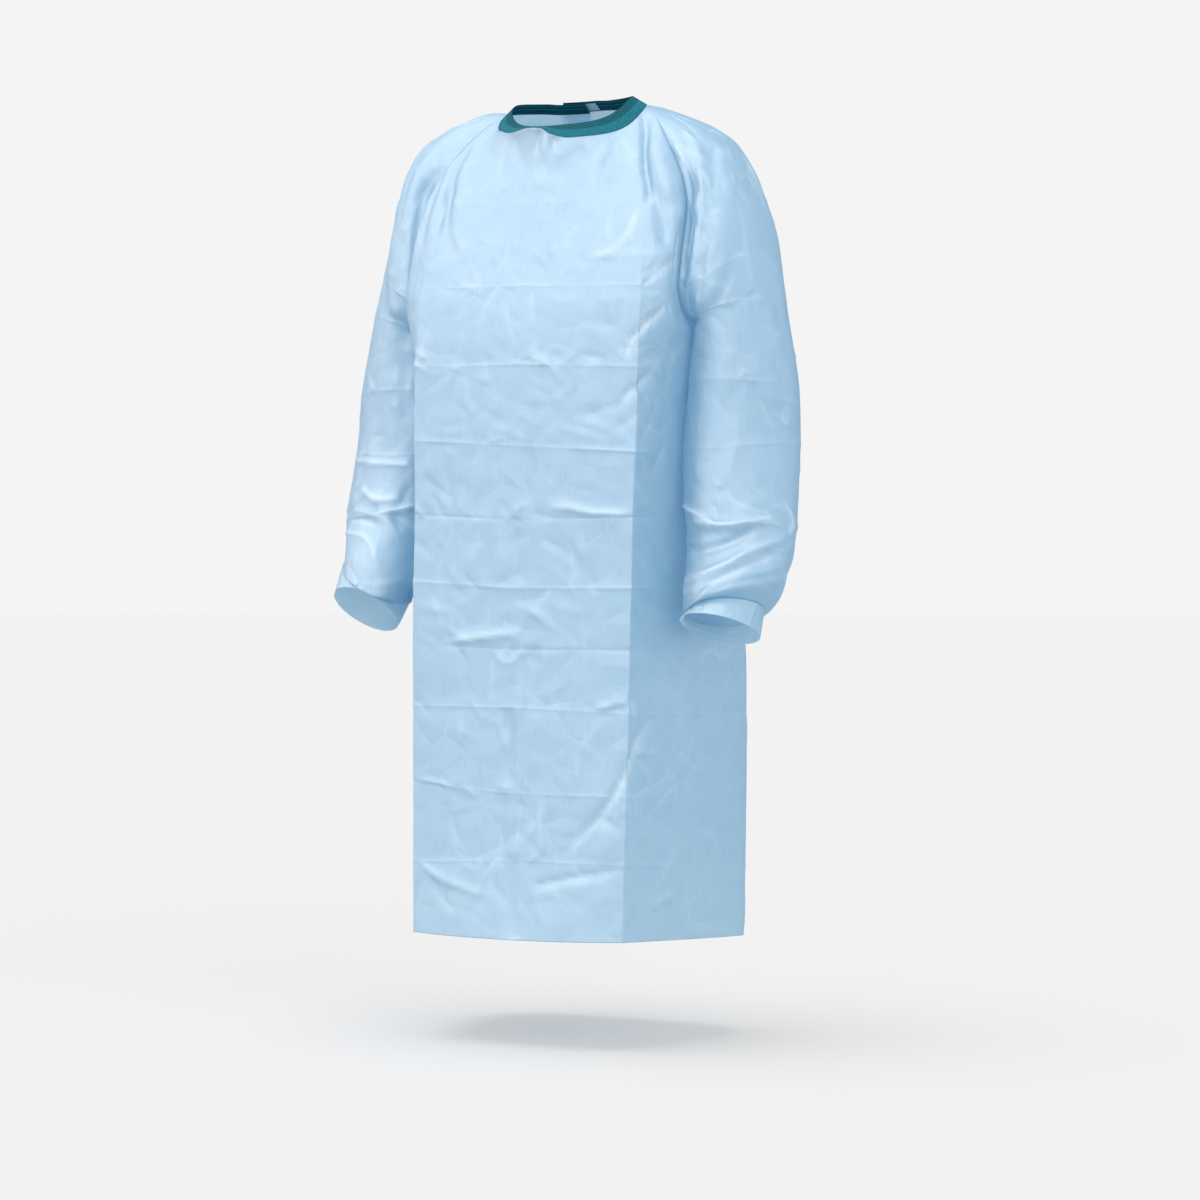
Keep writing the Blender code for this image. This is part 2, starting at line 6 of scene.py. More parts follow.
import bpy
import numpy as np
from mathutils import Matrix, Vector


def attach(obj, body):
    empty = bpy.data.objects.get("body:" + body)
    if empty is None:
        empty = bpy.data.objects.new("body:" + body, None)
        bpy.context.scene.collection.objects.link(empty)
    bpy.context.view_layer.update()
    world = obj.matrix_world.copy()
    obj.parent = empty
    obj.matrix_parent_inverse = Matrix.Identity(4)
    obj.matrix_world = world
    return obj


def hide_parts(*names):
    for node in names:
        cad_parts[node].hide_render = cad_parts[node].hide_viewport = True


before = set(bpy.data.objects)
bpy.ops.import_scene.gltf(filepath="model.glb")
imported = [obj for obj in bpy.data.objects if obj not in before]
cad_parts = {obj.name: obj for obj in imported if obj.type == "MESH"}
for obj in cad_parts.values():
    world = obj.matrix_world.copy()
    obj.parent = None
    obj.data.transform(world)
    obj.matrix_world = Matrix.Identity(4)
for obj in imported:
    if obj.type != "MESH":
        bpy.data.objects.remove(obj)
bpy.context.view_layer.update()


# ---------------------------------------------------------------- front panel
# One piece of light blue film-faced nonwoven, from side seam to side seam.  It is sewn to the
# raglan sleeves down to the armpits and to the back panels below them, and it keeps the creases
# of its pack: a sharp one down each side of the flat front, and level ones every 10 cm.

MM = 0.001
CLOTH_WALL = 0.4           # film and nonwoven together
ARMPIT = 10                # level at which front, back and sleeve meet
HEM = 17                   # last level of the body

# Neck seam: a ring that dips at the front; angles count from the wearer's left to the back
SEAM_RING_X, SEAM_RING_FRONT, SEAM_RING_BACK = 111.0, 62.0, 67.0
RingRise = namedtuple("RingRise", "middle_z rise shift spread")
SEAM_RING_RISE = RingRise(-10.5, 28.0, 17.0, 28.0)
FOLD_ANGLE, BACK_FOLD_ANGLE = -11.0, 51.0
SLEEVE_NECK_ANGLES = (7.0, 13.0, 19.0, 25.0, 32.0)
# The panel bulges forward and up over the binding, right of its middle
BulgeRow = namedtuple("BulgeRow", "forward up")
BULGE_START, BULGE_STEP = -111.0, 11.0
NECK_BULGE = [BulgeRow(*row) for row in (
    (0, 0), (1, 6), (2, 10), (3, 10), (4, 10.5),
    (6, 12), (8, 14), (9, 15.5), (9, 15.5), (8, 14),
    (4, 7), (2, 3), (0, 0.5), (0, 0),
)]
BULGE_REACH, NECK_REACH = 1.6, 2.0         # levels down from the neck

# Sections of the panel, neck to hem; "fold" is the sharp crease beside the flat front
PanelRow = namedtuple("PanelRow", "centre_y centre_z fold_x fold_y fold_z bow")
BOW_SCALE = 2.1            # makes the greatest depth of a bow the one in its row
FRONT_ROWS = [PanelRow(*row) for row in (
    (-62, -40, 109, -12, -6, 0),
    (-70, -66, 126, -32, -36, 2),
    (-80, -98, 138, -56, -74, 5),
    (-91, -132, 149, -78, -114, 9),
    (-103, -166, 158, -97, -154, 13),
    (-115, -200, 164, -112, -192, 16),
    (-127, -236, 168, -123, -231, 18),
    (-137, -272, 171, -131, -269, 19),
    (-142, -304, 171, -135, -302, 19),
    (-145, -332, 171, -138, -331, 18),
    (-148, -362, 171, -140, -361, 17),
    (-152, -430, 171, -142, -430, 14),
    (-156, -520, 168, -146, -520, 11),
    (-160, -620, 167, -149, -620, 9),
    (-164, -720, 166, -152, -720, 9),
    (-169, -840, 165, -155, -840, 9),
    (-174, -980, 162, -159, -980, 8),
    (-181, -1126, 160, -162, -1124, 6),
)]
SeamRow = namedtuple("SeamRow", "x y z")
RAGLAN_FRONT = [SeamRow(*row) for row in (
    (132, -8, -6), (154, -24, -32), (174, -38, -62),
    (190, -46, -92), (199, -50, -130), (200, -60, -172), (199, -70, -214),
    (197, -72, -256), (196, -46, -288), (196, 4, -300),
)]
SIDE_SEAM = [SeamRow(*row) for row in (
    (196, 4, -300), (185, 12, -400), (195, 36, -500), (213, 60, -610),
    (226, 76, -718), (228, 80, -840), (226, 80, -980), (224, 80, -1133),
)]

# Level creases of the pack: where each crosses the panel (across -2, -1, 0, 1, 2) and its height
# there, a ridge if positive
PackLine = namedtuple("PackLine", "levels heights width")
FRONT_LINES = [PackLine(*row) for row in (
    ((3.6, 3.1, 2.8, 3.45, 4.1), (0.2, 0.2, 0.4, 0.7, 0.5), 3.5),
    ((7.6, 6.25, 6.2, 6.5, 8.1), (0.5, 0.5, 1.1, 0.7, 0.6), 4.0),
    ((10.3, 9.7, 9.75, 9.97, 10.6), (0.8, 0.7, 0.8, 1.2, 0.8), 4.5),
    ((11.6, 11.25, 11.38, 11.5, 11.75), (0.7, 0.8, 0.8, 1.5, 0.9), 5.0),
    ((12.5, 12.34, 12.43, 12.41, 12.55), (-0.6, -0.8, -0.7, -1.0, -0.7), 3.5),
    ((13.4, 13.25, 13.35, 13.35, 13.4), (0.8, 1.2, 1.1, 1.2, 0.8), 5.0),
    ((14.15, 14.1, 14.15, 14.15, 14.2), (-0.7, -0.9, -0.8, -1.2, -0.7), 4.5),
    ((14.85, 14.8, 14.8, 14.85, 14.9), (0.6, 0.9, 0.6, 0.7, 0.6), 4.0),
    ((15.6, 15.58, 15.65, 15.66, 15.65), (-0.5, -0.6, 0.9, 0.3, 0.4), 3.5),
    ((16.35, 16.3, 16.25, 16.26, 16.35), (0.6, 0.7, 0.5, 0.6, 0.6), 4.0),
)]
LINE_SPREAD = 0.55         # share of its width within which a level crease falls away
FACET_DEPTH = 1.1          # how far the cloth between the level creases stands in or out, at most

# Soft folds and sharp creases listed one by one: height (a ridge if positive), width, and a path of
# (across, level) places.  Heights are multiplied by the depths below.
Fold = namedtuple("Fold", "height width path")
CREASE_DEPTH = 1.7
BODY_FOLD_DEPTH, SLEEVE_FOLD_DEPTH = 1.3, 0.5
SOFT, SHARP = (2, 2.6), (1, 5)             # power of the profile, and how many widths it reaches
WHITE_LINE, WHITE_CREASE = 3.0, 3.2        # heights at which the creases are painted quite white, partly the film's own whitening and partly a painted highlight
FRONT_FOLDS = [Fold(*row) for row in (
    # hanging from the neck and the shoulder seams
    (-6.0, 9, ((-1.80, 1.6), (-1.50, 2.5), (-1.16, 2.9), (-0.98, 3.5), (-0.95, 4.2))),
    (-4.0, 9, ((-1.85, 3.0), (-1.55, 4.0), (-1.30, 5.4))),
    (-2.6, 9, ((-0.96, 3.7), (-0.88, 4.3), (-0.74, 5.1))),
    (-2.0, 11, ((-0.48, 0.2), (-0.34, 1.0), (-0.22, 1.8))),
    (1.6, 9, ((-0.98, 3.9), (-1.06, 5.5), (-1.20, 7.2))),
    (-4.0, 13, ((0.40, 0.7), (0.26, 1.2), (0.12, 1.9))),
    (-2.6, 8, ((0.74, 0.6), (0.68, 1.45), (0.62, 2.1), (0.60, 2.7))),
    (-2.2, 7, ((0.84, 2.1), (0.70, 2.65), (0.62, 3.0))),
    (-4.5, 6, ((1.42, 0.2), (1.10, 1.3), (1.05, 2.2), (1.12, 3.0), (1.06, 3.8))),
    (-5.0, 11, ((1.18, 3.0), (1.32, 4.1), (1.38, 5.2), (1.46, 5.8))),
    (4.0, 13, ((1.50, 1.6), (1.50, 3.0), (1.55, 4.4))),
    (-4.5, 14, ((1.78, 5.2), (1.72, 7.0), (1.78, 8.8))),
    # down the middle
    (-1.6, 12, ((-0.20, 3.0), (-0.20, 4.5), (-0.18, 5.6))),
    (-1.4, 10, ((0.12, 5.0), (0.08, 6.3))),
    (-2.0, 9, ((0.08, 11.3), (0.06, 11.8), (0.08, 12.2))),
    (-1.2, 8, ((-0.31, 11.4), (-0.30, 12.4))),
    (-1.6, 9, ((-0.02, 12.4), (0.03, 13.3))),
    (-1.6, 9, ((0.17, 14.1), (0.20, 14.9))),
    (-2.5, 10, ((-0.06, 14.8), (-0.06, 15.2), (-0.07, 15.6))),
    (-2.0, 11, ((-0.02, 16.2), (0.00, 16.6), (0.02, 17.0))),
    (-1.5, 8, ((-0.12, 15.6), (-0.10, 16.3))),
    (-1.2, 10, ((0.80, 12.5), (0.82, 13.3))),
)]
FRONT_CREASES = [Fold(*row) for row in (
    # pucker under the binding
    (-3.2, 2.6, ((-0.16, 0.9), (-0.12, 0.5), (-0.08, 0.0))), (-2.8, 2.6, ((0.04, 0.0), (0.06, 0.7))),
    (2.4, 2.8, ((-0.03, 0.0), (-0.05, 0.8))),
    # arcs and diagonals beside the left crease
    (2.4, 5, ((0.94, 3.75), (0.86, 4.65), (0.74, 5.15), (0.55, 5.35))),
    (1.0, 3.5, ((0.50, 5.25), (1.00, 5.45), (1.74, 6.5))),
    (-2.2, 3.5, ((1.00, 6.55), (1.44, 6.5), (1.80, 6.7))),
    (-1.6, 3.2, ((1.00, 6.2), (1.34, 6.2))),
    (-3.6, 3.8, ((0.90, 9.75), (0.98, 8.4), (1.28, 8.05), (1.48, 7.9))),
    (-3.0, 3.6, ((0.87, 10.7), (0.98, 10.45), (1.18, 10.28))),
    (-1.2, 3.0, ((0.88, 10.75), (0.74, 10.8), (0.58, 10.92))),
    (-1.2, 3.0, ((1.04, 10.85), (0.92, 11.05), (0.83, 11.18))),
    (-1.2, 3.0, ((1.06, 11.2), (1.20, 11.12))),
    # middle of the chest
    (-1.8, 3.2, ((-0.40, 7.6), (-0.34, 6.65), (-0.25, 6.1))),
    (-1.5, 3.2, ((-0.16, 7.6), (-0.18, 6.75), (-0.15, 6.3))),
    (-1.3, 3.2, ((0.08, 7.6), (0.04, 6.3))),
    (1.2, 3.0, ((-0.06, 9.8), (0.06, 9.25), (0.13, 8.9))),
    (0.9, 3.0, ((0.46, 10.95), (0.62, 11.05), (0.78, 11.15))),
    (0.9, 3.0, ((0.34, 11.1), (0.52, 11.2), (0.72, 11.3))),
    (1.0, 3.0, ((-0.28, 11.32), (-0.12, 11.22))),
    # stars at the right crease
    (1.5, 3.0, ((-1.00, 8.75), (-0.91, 9.25))), (1.3, 3.0, ((-1.02, 9.5), (-0.89, 9.95))),
    (1.4, 3.0, ((-0.99, 12.22), (-0.91, 12.38))),
    # above the hip
    (3.0, 3.6, ((0.28, 12.26), (0.45, 12.27), (0.68, 12.35), (1.00, 12.36))),
    (1.3, 3.2, ((-0.08, 12.47), (-0.04, 12.32), (0.07, 12.2))),
    (2.8, 3.8, ((-0.62, 14.06), (-0.42, 14.02), (-0.20, 13.98), (0.06, 13.93))),
    (1.4, 3.2, ((-0.20, 14.2), (-0.06, 14.3), (0.08, 14.15))),
    (-1.0, 3.2, ((-0.22, 14.15), (-0.20, 14.85))), (-0.9, 3.2, ((0.04, 14.15), (0.04, 14.85))),
    (2.4, 3.4, ((0.72, 14.8), (0.88, 14.75), (1.00, 14.7))),
    (-2.0, 3.2, ((1.00, 14.68), (1.04, 14.78), (1.04, 14.88))),
    # long curved crease over the left crease
    (-2.8, 4.0, ((1.20, 14.88), (1.08, 15.1), (1.01, 15.35), (0.92, 15.6), (0.74, 15.9), (0.44, 16.22))),
    # skirt
    (1.2, 3.2, ((-0.92, 15.55), (-0.74, 15.57), (-0.56, 15.62))),
    (-1.1, 3.2, ((0.08, 15.7), (0.02, 16.2))),
    (1.4, 3.2, ((0.24, 15.65), (0.26, 16.12), (0.16, 16.27))),
    (1.7, 3.8, ((-0.93, 16.3), (-0.70, 16.42), (-0.20, 16.55))),
    (-2.0, 4.0, ((0.18, 16.46), (0.46, 16.4), (1.00, 16.3))),
    (1.1, 3.4, ((1.22, 16.6), (1.40, 16.5))),
)]


def smooth_step(value):
    t = np.clip(value, 0.0, 1.0)
    return t * t * (3 - 2 * t)


def read_rows(table, level):
    """The table's values at levels between its rows, on smooth curves through them."""
    rows = np.array(table, float)
    last = len(rows) - 1
    base = np.clip(np.floor(level).astype(int), 0, last - 1)
    t = (level - base)[..., None]
    before, here, there, after = (rows[np.clip(base + k, 0, last)] for k in (-1, 0, 1, 2))
    bend = 2 * before - 5 * here + 4 * there - after
    return here + 0.5 * t * (there - before + t * (bend + t * (3 * (here - there) + after - before)))


def as_grids(across, level):
    return np.broadcast_arrays(np.asarray(across, float), np.asarray(level, float))


def between_rows(places, marks, rows):
    """Rows of a table read at places between its marks, on straight lines."""
    return np.array([np.interp(places, marks, column) for column in rows.T]).T


def run_lengths(points, axis):
    """How far along its line each point lies."""
    steps = np.linalg.norm(np.diff(points, axis=axis), axis=-1)
    return np.concatenate([np.zeros_like(np.take(steps, [0], axis)), np.cumsum(steps, axis)], axis)


def stacked(*parts):
    return np.stack(np.broadcast_arrays(*parts), axis=-1)


def ring_height(ring, y):
    """How high a ring round the neck runs: low in front, high behind."""
    return ring.middle_z + ring.rise * np.tanh((y + ring.shift) / ring.spread)


def neck_seam(angle):
    turn = np.radians(angle)
    y = np.where(np.asarray(angle) > 0, SEAM_RING_BACK, SEAM_RING_FRONT) * np.sin(turn)
    return stacked(SEAM_RING_X * np.cos(turn), y, ring_height(SEAM_RING_RISE, y))


def raglan_front(level):
    return read_rows([neck_seam(SLEEVE_NECK_ANGLES[0]), *RAGLAN_FRONT], np.minimum(level, ARMPIT))


def side_seam(level):
    return read_rows(SIDE_SEAM, np.maximum(level - ARMPIT, 0))


def panel_point(rows, seam, facing, across, level):
    """A body panel's surface on the wearer's left: across is 0 at its middle, 1 at the fold, 2 at
    the seam; facing is -1 front, 1 back."""
    centre_y, centre_z, fold_x, fold_y, fold_z, bow = np.moveaxis(read_rows(rows, level), -1, 0)
    share = np.minimum(np.abs(across), 1)
    flat = stacked(fold_x * np.minimum(across, 1), centre_y + (fold_y - centre_y) * share ** 2.2,
                   centre_z + (fold_z - centre_z) * share ** 2)
    fold = stacked(fold_x, fold_y, fold_z)
    run = np.where((level <= ARMPIT)[..., None], seam(level), side_seam(level)) - fold
    share = np.clip(across - 1, 0, 1)
    bowed = bow * BOW_SCALE * share * (1 - share ** 3) / np.maximum(np.hypot(run[..., 0], run[..., 1]), 1.0)
    outward = stacked(np.abs(run[..., 1]), facing * np.abs(run[..., 0]), 0.0)
    side = fold + run * share[..., None] + outward * bowed[..., None]
    return np.where((across <= 1)[..., None], flat, side)


def eased_panel(rows, seam, facing, across, level, angle):
    """The panel's surface, which bends to the neck seam near it."""
    point, start = (panel_point(rows, seam, facing, across, v) for v in (level, level * 0))
    return point + (neck_seam(angle) - start) * (np.clip(1 - level / NECK_REACH, 0, 1) ** 2)[..., None]


def neck_bulge(x, level):
    """How far the panel bulges forward and up over the binding."""
    place = np.clip((x - BULGE_START) / BULGE_STEP, 0, len(NECK_BULGE) - 1)
    forward, up = np.moveaxis(read_rows(NECK_BULGE, place), -1, 0)
    return stacked(0.0, -forward, up) * (np.clip(1 - level / BULGE_REACH, 0, 1) ** 2)[..., None]


def front_point(across, level):
    across, level = as_grids(across, level)
    share = np.abs(across)
    angle = np.where(share <= 1, -90 + (90 + FOLD_ANGLE) * share,
                     FOLD_ANGLE + (SLEEVE_NECK_ANGLES[0] - FOLD_ANGLE) * (share - 1))
    point = eased_panel(FRONT_ROWS, raglan_front, -1, share, level, angle)
    point[..., 0] *= np.sign(across)
    return point + neck_bulge(point[..., 0], level)


STEP_GROWTH = 0.3          # how fast the steps of a mesh widen away from a mark


def stations(marks, steps, fine=1.4):
    """Places from the first mark to the last, close together at each mark."""
    places = [marks[0]]
    for start, end, step in zip(marks[:-1], marks[1:], steps):
        run = np.linspace(start, end, 300)
        spacing = np.minimum(step, fine + STEP_GROWTH * np.minimum(run - start, end - run))
        count = np.concatenate([[0], np.cumsum(np.diff(run) / spacing[1:])])
        places += list(np.interp(np.linspace(0, count[-1], math.ceil(count[-1]) + 1)[1:], count, run))
    return np.array(places)


def rows_between(surface, across, last, marks, step):
    """Levels from the neck to the last, step millimetres apart down the sheet, closer at the marks;
    also how far down each of them and of the marks lies."""
    fine = np.linspace(0, last, 400)
    line = surface(np.full(fine.shape, float(across)), fine)
    depth = run_lengths(line, 0)
    knots = [0, *np.interp(marks, fine, depth), depth[-1]]
    down = stations(knots, [step] * (len(knots) - 1))
    return np.interp(down, depth, fine), down, np.interp(marks, fine, depth)


def packed_grid(surface, middle, last, step, across, places, lines):
    """A grid of levels whose rows run along the level creases; also how far down the sheet, at its
    middle, the rows and the creases lie."""
    creased = [line.levels[2] for line in lines]
    levels, down, marks = rows_between(surface, middle, last, creased, step)
    offsets = [np.interp(across, places, line.levels) - line.levels[2] for line in lines]
    table = np.array([0 * across, *offsets, 0 * across])
    return levels[:, None] + between_rows(levels, [0, *creased, last], table), down, marks


LINE_STRETCHES, FACET_STRETCHES = 18, 10   # places across a sheet where each is drawn anew


def pack_lines(down, marks, across, places, lines):
    """The level creases of the pack, fainter in some stretches than in others."""
    spots = random.Random(len(down))
    steps = np.linspace(across[0], across[-1], LINE_STRETCHES)
    heights = np.zeros((len(down), len(across)))
    for line, mark in zip(lines, marks):
        worn_off = np.interp(across, steps, [spots.uniform(0.2, 1.0) for _ in steps])
        strength = np.interp(across, places, line.heights) * worn_off
        heights += np.exp(-np.abs(down - mark) / (LINE_SPREAD * line.width))[:, None] * strength
    return heights


def pack_facets(down, marks, across, seed):
    """The slightly uneven lie of the cloth between the level creases."""
    spots = random.Random(seed)
    steps = np.linspace(across[0], across[-1], FACET_STRETCHES)
    corners = [np.interp(across, steps, [spots.uniform(-FACET_DEPTH, FACET_DEPTH) for _ in steps])
               for _ in marks]
    table = np.array([0 * across, *corners, corners[-1] / 2])
    return between_rows(down, [down[0], *marks, down[-1]], table)


def crease_white_and_highlight_share(lines, creases, fade):
    """How much whiter the film is painted along its creases, 0 to 1: partly its own whitening, partly a
    painted highlight.
    """
    return np.clip((np.abs(lines) / WHITE_LINE + np.abs(creases) / WHITE_CREASE) * fade, 0, 1) ** 1.5


def path_line(surface, path, count=14):
    """Points of the surface along a smooth path through its (across, level) places."""
    places = read_rows(path, np.linspace(0, len(path) - 1, count))
    return surface(places[:, 0], places[:, 1])


def fold_heights(points, surface, folds, power, reach):
    """Folds of a profile exp(-(distance / width) ** power), dying away at both ends."""
    flat = points.reshape(-1, 3)
    heights = np.zeros(len(flat))
    for fold in folds:
        line = path_line(surface, fold.path)
        margin = fold.width * reach
        near = np.all((flat > line.min(0) - margin) & (flat < line.max(0) + margin), axis=1)
        spots = flat[near]
        nearest = np.full(len(spots), np.inf)
        share = np.zeros(len(spots))
        for k, (start, end) in enumerate(zip(line[:-1], line[1:])):
            run = end - start
            along = np.clip((spots - start) @ run / (run @ run), 0, 1)
            distance = np.linalg.norm(spots - start - along[:, None] * run, axis=1)
            closer = distance < nearest
            nearest = np.where(closer, distance, nearest)
            share = np.where(closer, (k + along) / (len(line) - 1), share)
        fade = 1 - np.abs(2 * share - 1) ** 3
        heights[near] += fold.height * fade * np.exp(-(nearest / fold.width) ** power)
    return heights.reshape(points.shape[:2])


ACROSS_STEP, LEVEL_ABOVE, LEVEL_BELOW = 160, 30, 95     # one step in mm, above and below the armpit


def scattered(seed, count, across, level, longest, height):
    """Small creases strewn over a stretch of a sheet, mostly along or across the cloth."""
    spots = random.Random(seed)
    found = []
    for _ in range(count):
        a, v = spots.uniform(*across), spots.uniform(*level)
        lean = spots.choice((0.1, 0.5, 0.8, 1.3, 1.5, 2.3)) + spots.uniform(-0.25, 0.25)
        size = longest * spots.uniform(0.35, 1.0)
        da = size * math.cos(lean) / ACROSS_STEP
        dv = size * math.sin(lean) / (LEVEL_ABOVE if v < ARMPIT else LEVEL_BELOW)
        bow = spots.uniform(-0.15, 0.15)
        path = ((a - da, v - dv), (a + bow * dv, v + bow * da), (a + da, v + dv))
        rise = height * spots.uniform(0.4, 1.0) * spots.choice((-1, 1))
        found.append(Fold(rise, spots.uniform(3.0, 4.5), path))
    return found


def outward_normals(points):
    normals = np.cross(np.gradient(points, axis=0), np.gradient(points, axis=1))
    return normals / np.maximum(np.linalg.norm(normals, axis=-1, keepdims=True), 1e-6)


def edge_distances(points, both=True):
    """How far each point lies from the seams at both ends of its row, or at its last end alone."""
    along = run_lengths(points, 1)
    far = along[:, -1:] - along
    return np.minimum(along, far) if both else far


SEAM_DIP, SEAM_PUCKER = 0.4, 0.16
SEAM_CALM = 9.0            # width beside a seam in which the folds die away


def seam_heights(points, far, seed):
    """Beside a sewn seam the cloth dips to it and puckers a little."""
    down = run_lengths(points, 0)
    spots = random.Random(seed)
    waves = sum(np.sin(down / spots.uniform(1.6, 4.5) + spots.uniform(0, 6)) for _ in range(4))
    dip = -SEAM_DIP * np.exp(-far / 1.6)
    return dip + SEAM_PUCKER * waves * (1 - np.exp(-far / 2.0)) * np.exp(-far / 8.0)


def seam_fade(far, neck_levels):
    """The folds die away at the sheet's seams and at the neck."""
    return smooth_step(far / SEAM_CALM) * smooth_step(neck_levels / 0.25)


def add_object(name, data):
    thing = bpy.data.objects.new(name, data)
    bpy.context.scene.collection.objects.link(thing)
    return thing


def cloth_sheet(name, points, flip, closed=False, wall=CLOTH_WALL, crease_white_and_highlight=None):
    """An object of one grid of points, with a map in metres along the cloth, and a wall; its last
    argument says how much whiter its film is painted at each point, partly the film's own whitening along
    its creases and partly a painted highlight."""
    rows, columns = points.shape[:2]
    u, v = run_lengths(points, 1), run_lengths(points, 0).mean(axis=1, keepdims=True)
    u = u - u[:, columns // 2][:, None]
    kept = columns - 1 if closed else columns
    index = np.arange(rows * kept).reshape(rows, kept)
    if closed:
        index = np.concatenate([index, index[:, :1]], axis=1)
    corners = [(slice(None, -1), slice(None, -1)), (slice(1, None), slice(None, -1)),
               (slice(1, None), slice(1, None)), (slice(None, -1), slice(1, None))]
    if flip:
        corners = corners[::-1]
    faces = np.stack([index[c] for c in corners], axis=-1).reshape(-1, 4)
    mesh = bpy.data.meshes.new(name)
    mesh.from_pydata((points[:, :kept].reshape(-1, 3) * MM).tolist(), [], faces.tolist())
    places = stacked(u, v + 0 * u) * MM
    spread = np.stack([places[c] for c in corners], axis=2).reshape(-1)
    mesh.uv_layers.new(name="cloth").data.foreach_set("uv", spread)
    if crease_white_and_highlight is not None:
        whiteness = mesh.attributes.new("crease_white_and_highlight", "FLOAT", "POINT")
        whiteness.data.foreach_set("value", crease_white_and_highlight[:, :kept].reshape(-1))
    mesh.shade_smooth()
    piece = add_object(name, mesh)
    shell = piece.modifiers.new("wall", "SOLIDIFY")
    shell.thickness = wall * MM
    shell.offset = -1.0
    shell.material_offset = 1
    return piece


def crumpled_sheet(name, surface, base, pack, folds, creases, fade, far, seeds, facing=1, mirrored=False):
    """A sheet with the pack's level creases, its folds, its creases and puckered seams; pack says
    how its level creases lie, and folds are soft folds and their depth."""
    lines = pack_lines(*pack)
    sharp = CREASE_DEPTH * fold_heights(base, surface, creases, *SHARP)
    soft = folds[1] * fold_heights(base, surface, folds[0], *SOFT)
    heights = (lines + sharp + soft + pack_facets(*pack[:3], seeds[0])) * fade
    heights = heights + seam_heights(base, far, seeds[1])
    points = base + facing * outward_normals(base) * heights[..., None]
    if mirrored:
        points = points * (-1, 1, 1)
    return cloth_sheet(name, points, mirrored != (facing < 0), crease_white_and_highlight=crease_white_and_highlight_share(lines, sharp, fade))


def feed(tree, node, feeds):
    """Links outputs of other nodes to the node's sockets."""
    for socket, output in feeds.items():
        tree.links.new(output, node.inputs[socket])


def add_node(tree, kind, feeds={}, **values):
    """A node; values with a small first letter are its settings, and the others its sockets."""
    node = tree.nodes.new("ShaderNode" + kind)
    for name, value in values.items():
        if name[0].islower():
            setattr(node, name, value)
        else:
            node.inputs[name].default_value = value
    feed(tree, node, feeds)
    return node


def scaled_map(tree, scale):
    """The piece's own map in metres, scaled so that one step is one mark of the pattern."""
    source = add_node(tree, "UVMap", uv_map="cloth")
    return add_node(tree, "Mapping", {"Vector": source.outputs["UV"]}, Scale=scale).outputs["Vector"]


def noise(tree, vector, scale, detail=3.0, roughness=0.5):
    node = add_node(tree, "TexNoise", {"Vector": vector}, Scale=scale, Detail=detail, Roughness=roughness)
    return node.outputs["Fac"]


def ramp(tree, factor, low, high, start=0.3, end=0.7):
    node = add_node(tree, "ValToRGB", {"Fac": factor})
    stops = node.color_ramp.elements
    stops[0].position, stops[1].position = start, end
    stops[0].color, stops[1].color = (*low, 1), (*high, 1)
    return node.outputs["Color"]


def bump(tree, height, strength, distance, below=None):
    node = add_node(tree, "Bump", {"Height": height}, Strength=strength, Distance=distance)
    if below:
        feed(tree, node, {"Normal": below})
    return node.outputs["Normal"]


def crumple(tree, vector, scale):
    """Flat facets with crisp creases between them, as the film takes in the pack."""
    bend = add_node(tree, "TexNoise", {"Vector": vector}, Scale=scale * 0.8, Detail=1.0)
    shifted = add_node(tree, "Mix", {4: vector, 5: bend.outputs["Color"]}, data_type="VECTOR", Factor=0.014)
    cells = add_node(tree, "TexVoronoi", {"Vector": shifted.outputs[1]}, feature="DISTANCE_TO_EDGE",
                     Scale=scale)
    return cells.outputs["Distance"]


def new_finish(name, roughness, shine):
    material = bpy.data.materials.new(name)
    material.use_nodes = True
    tree = material.node_tree
    shader = tree.nodes["Principled BSDF"]
    shader.inputs["Roughness"].default_value = roughness
    shader.inputs["Specular IOR Level"].default_value = shine
    return material, tree, shader


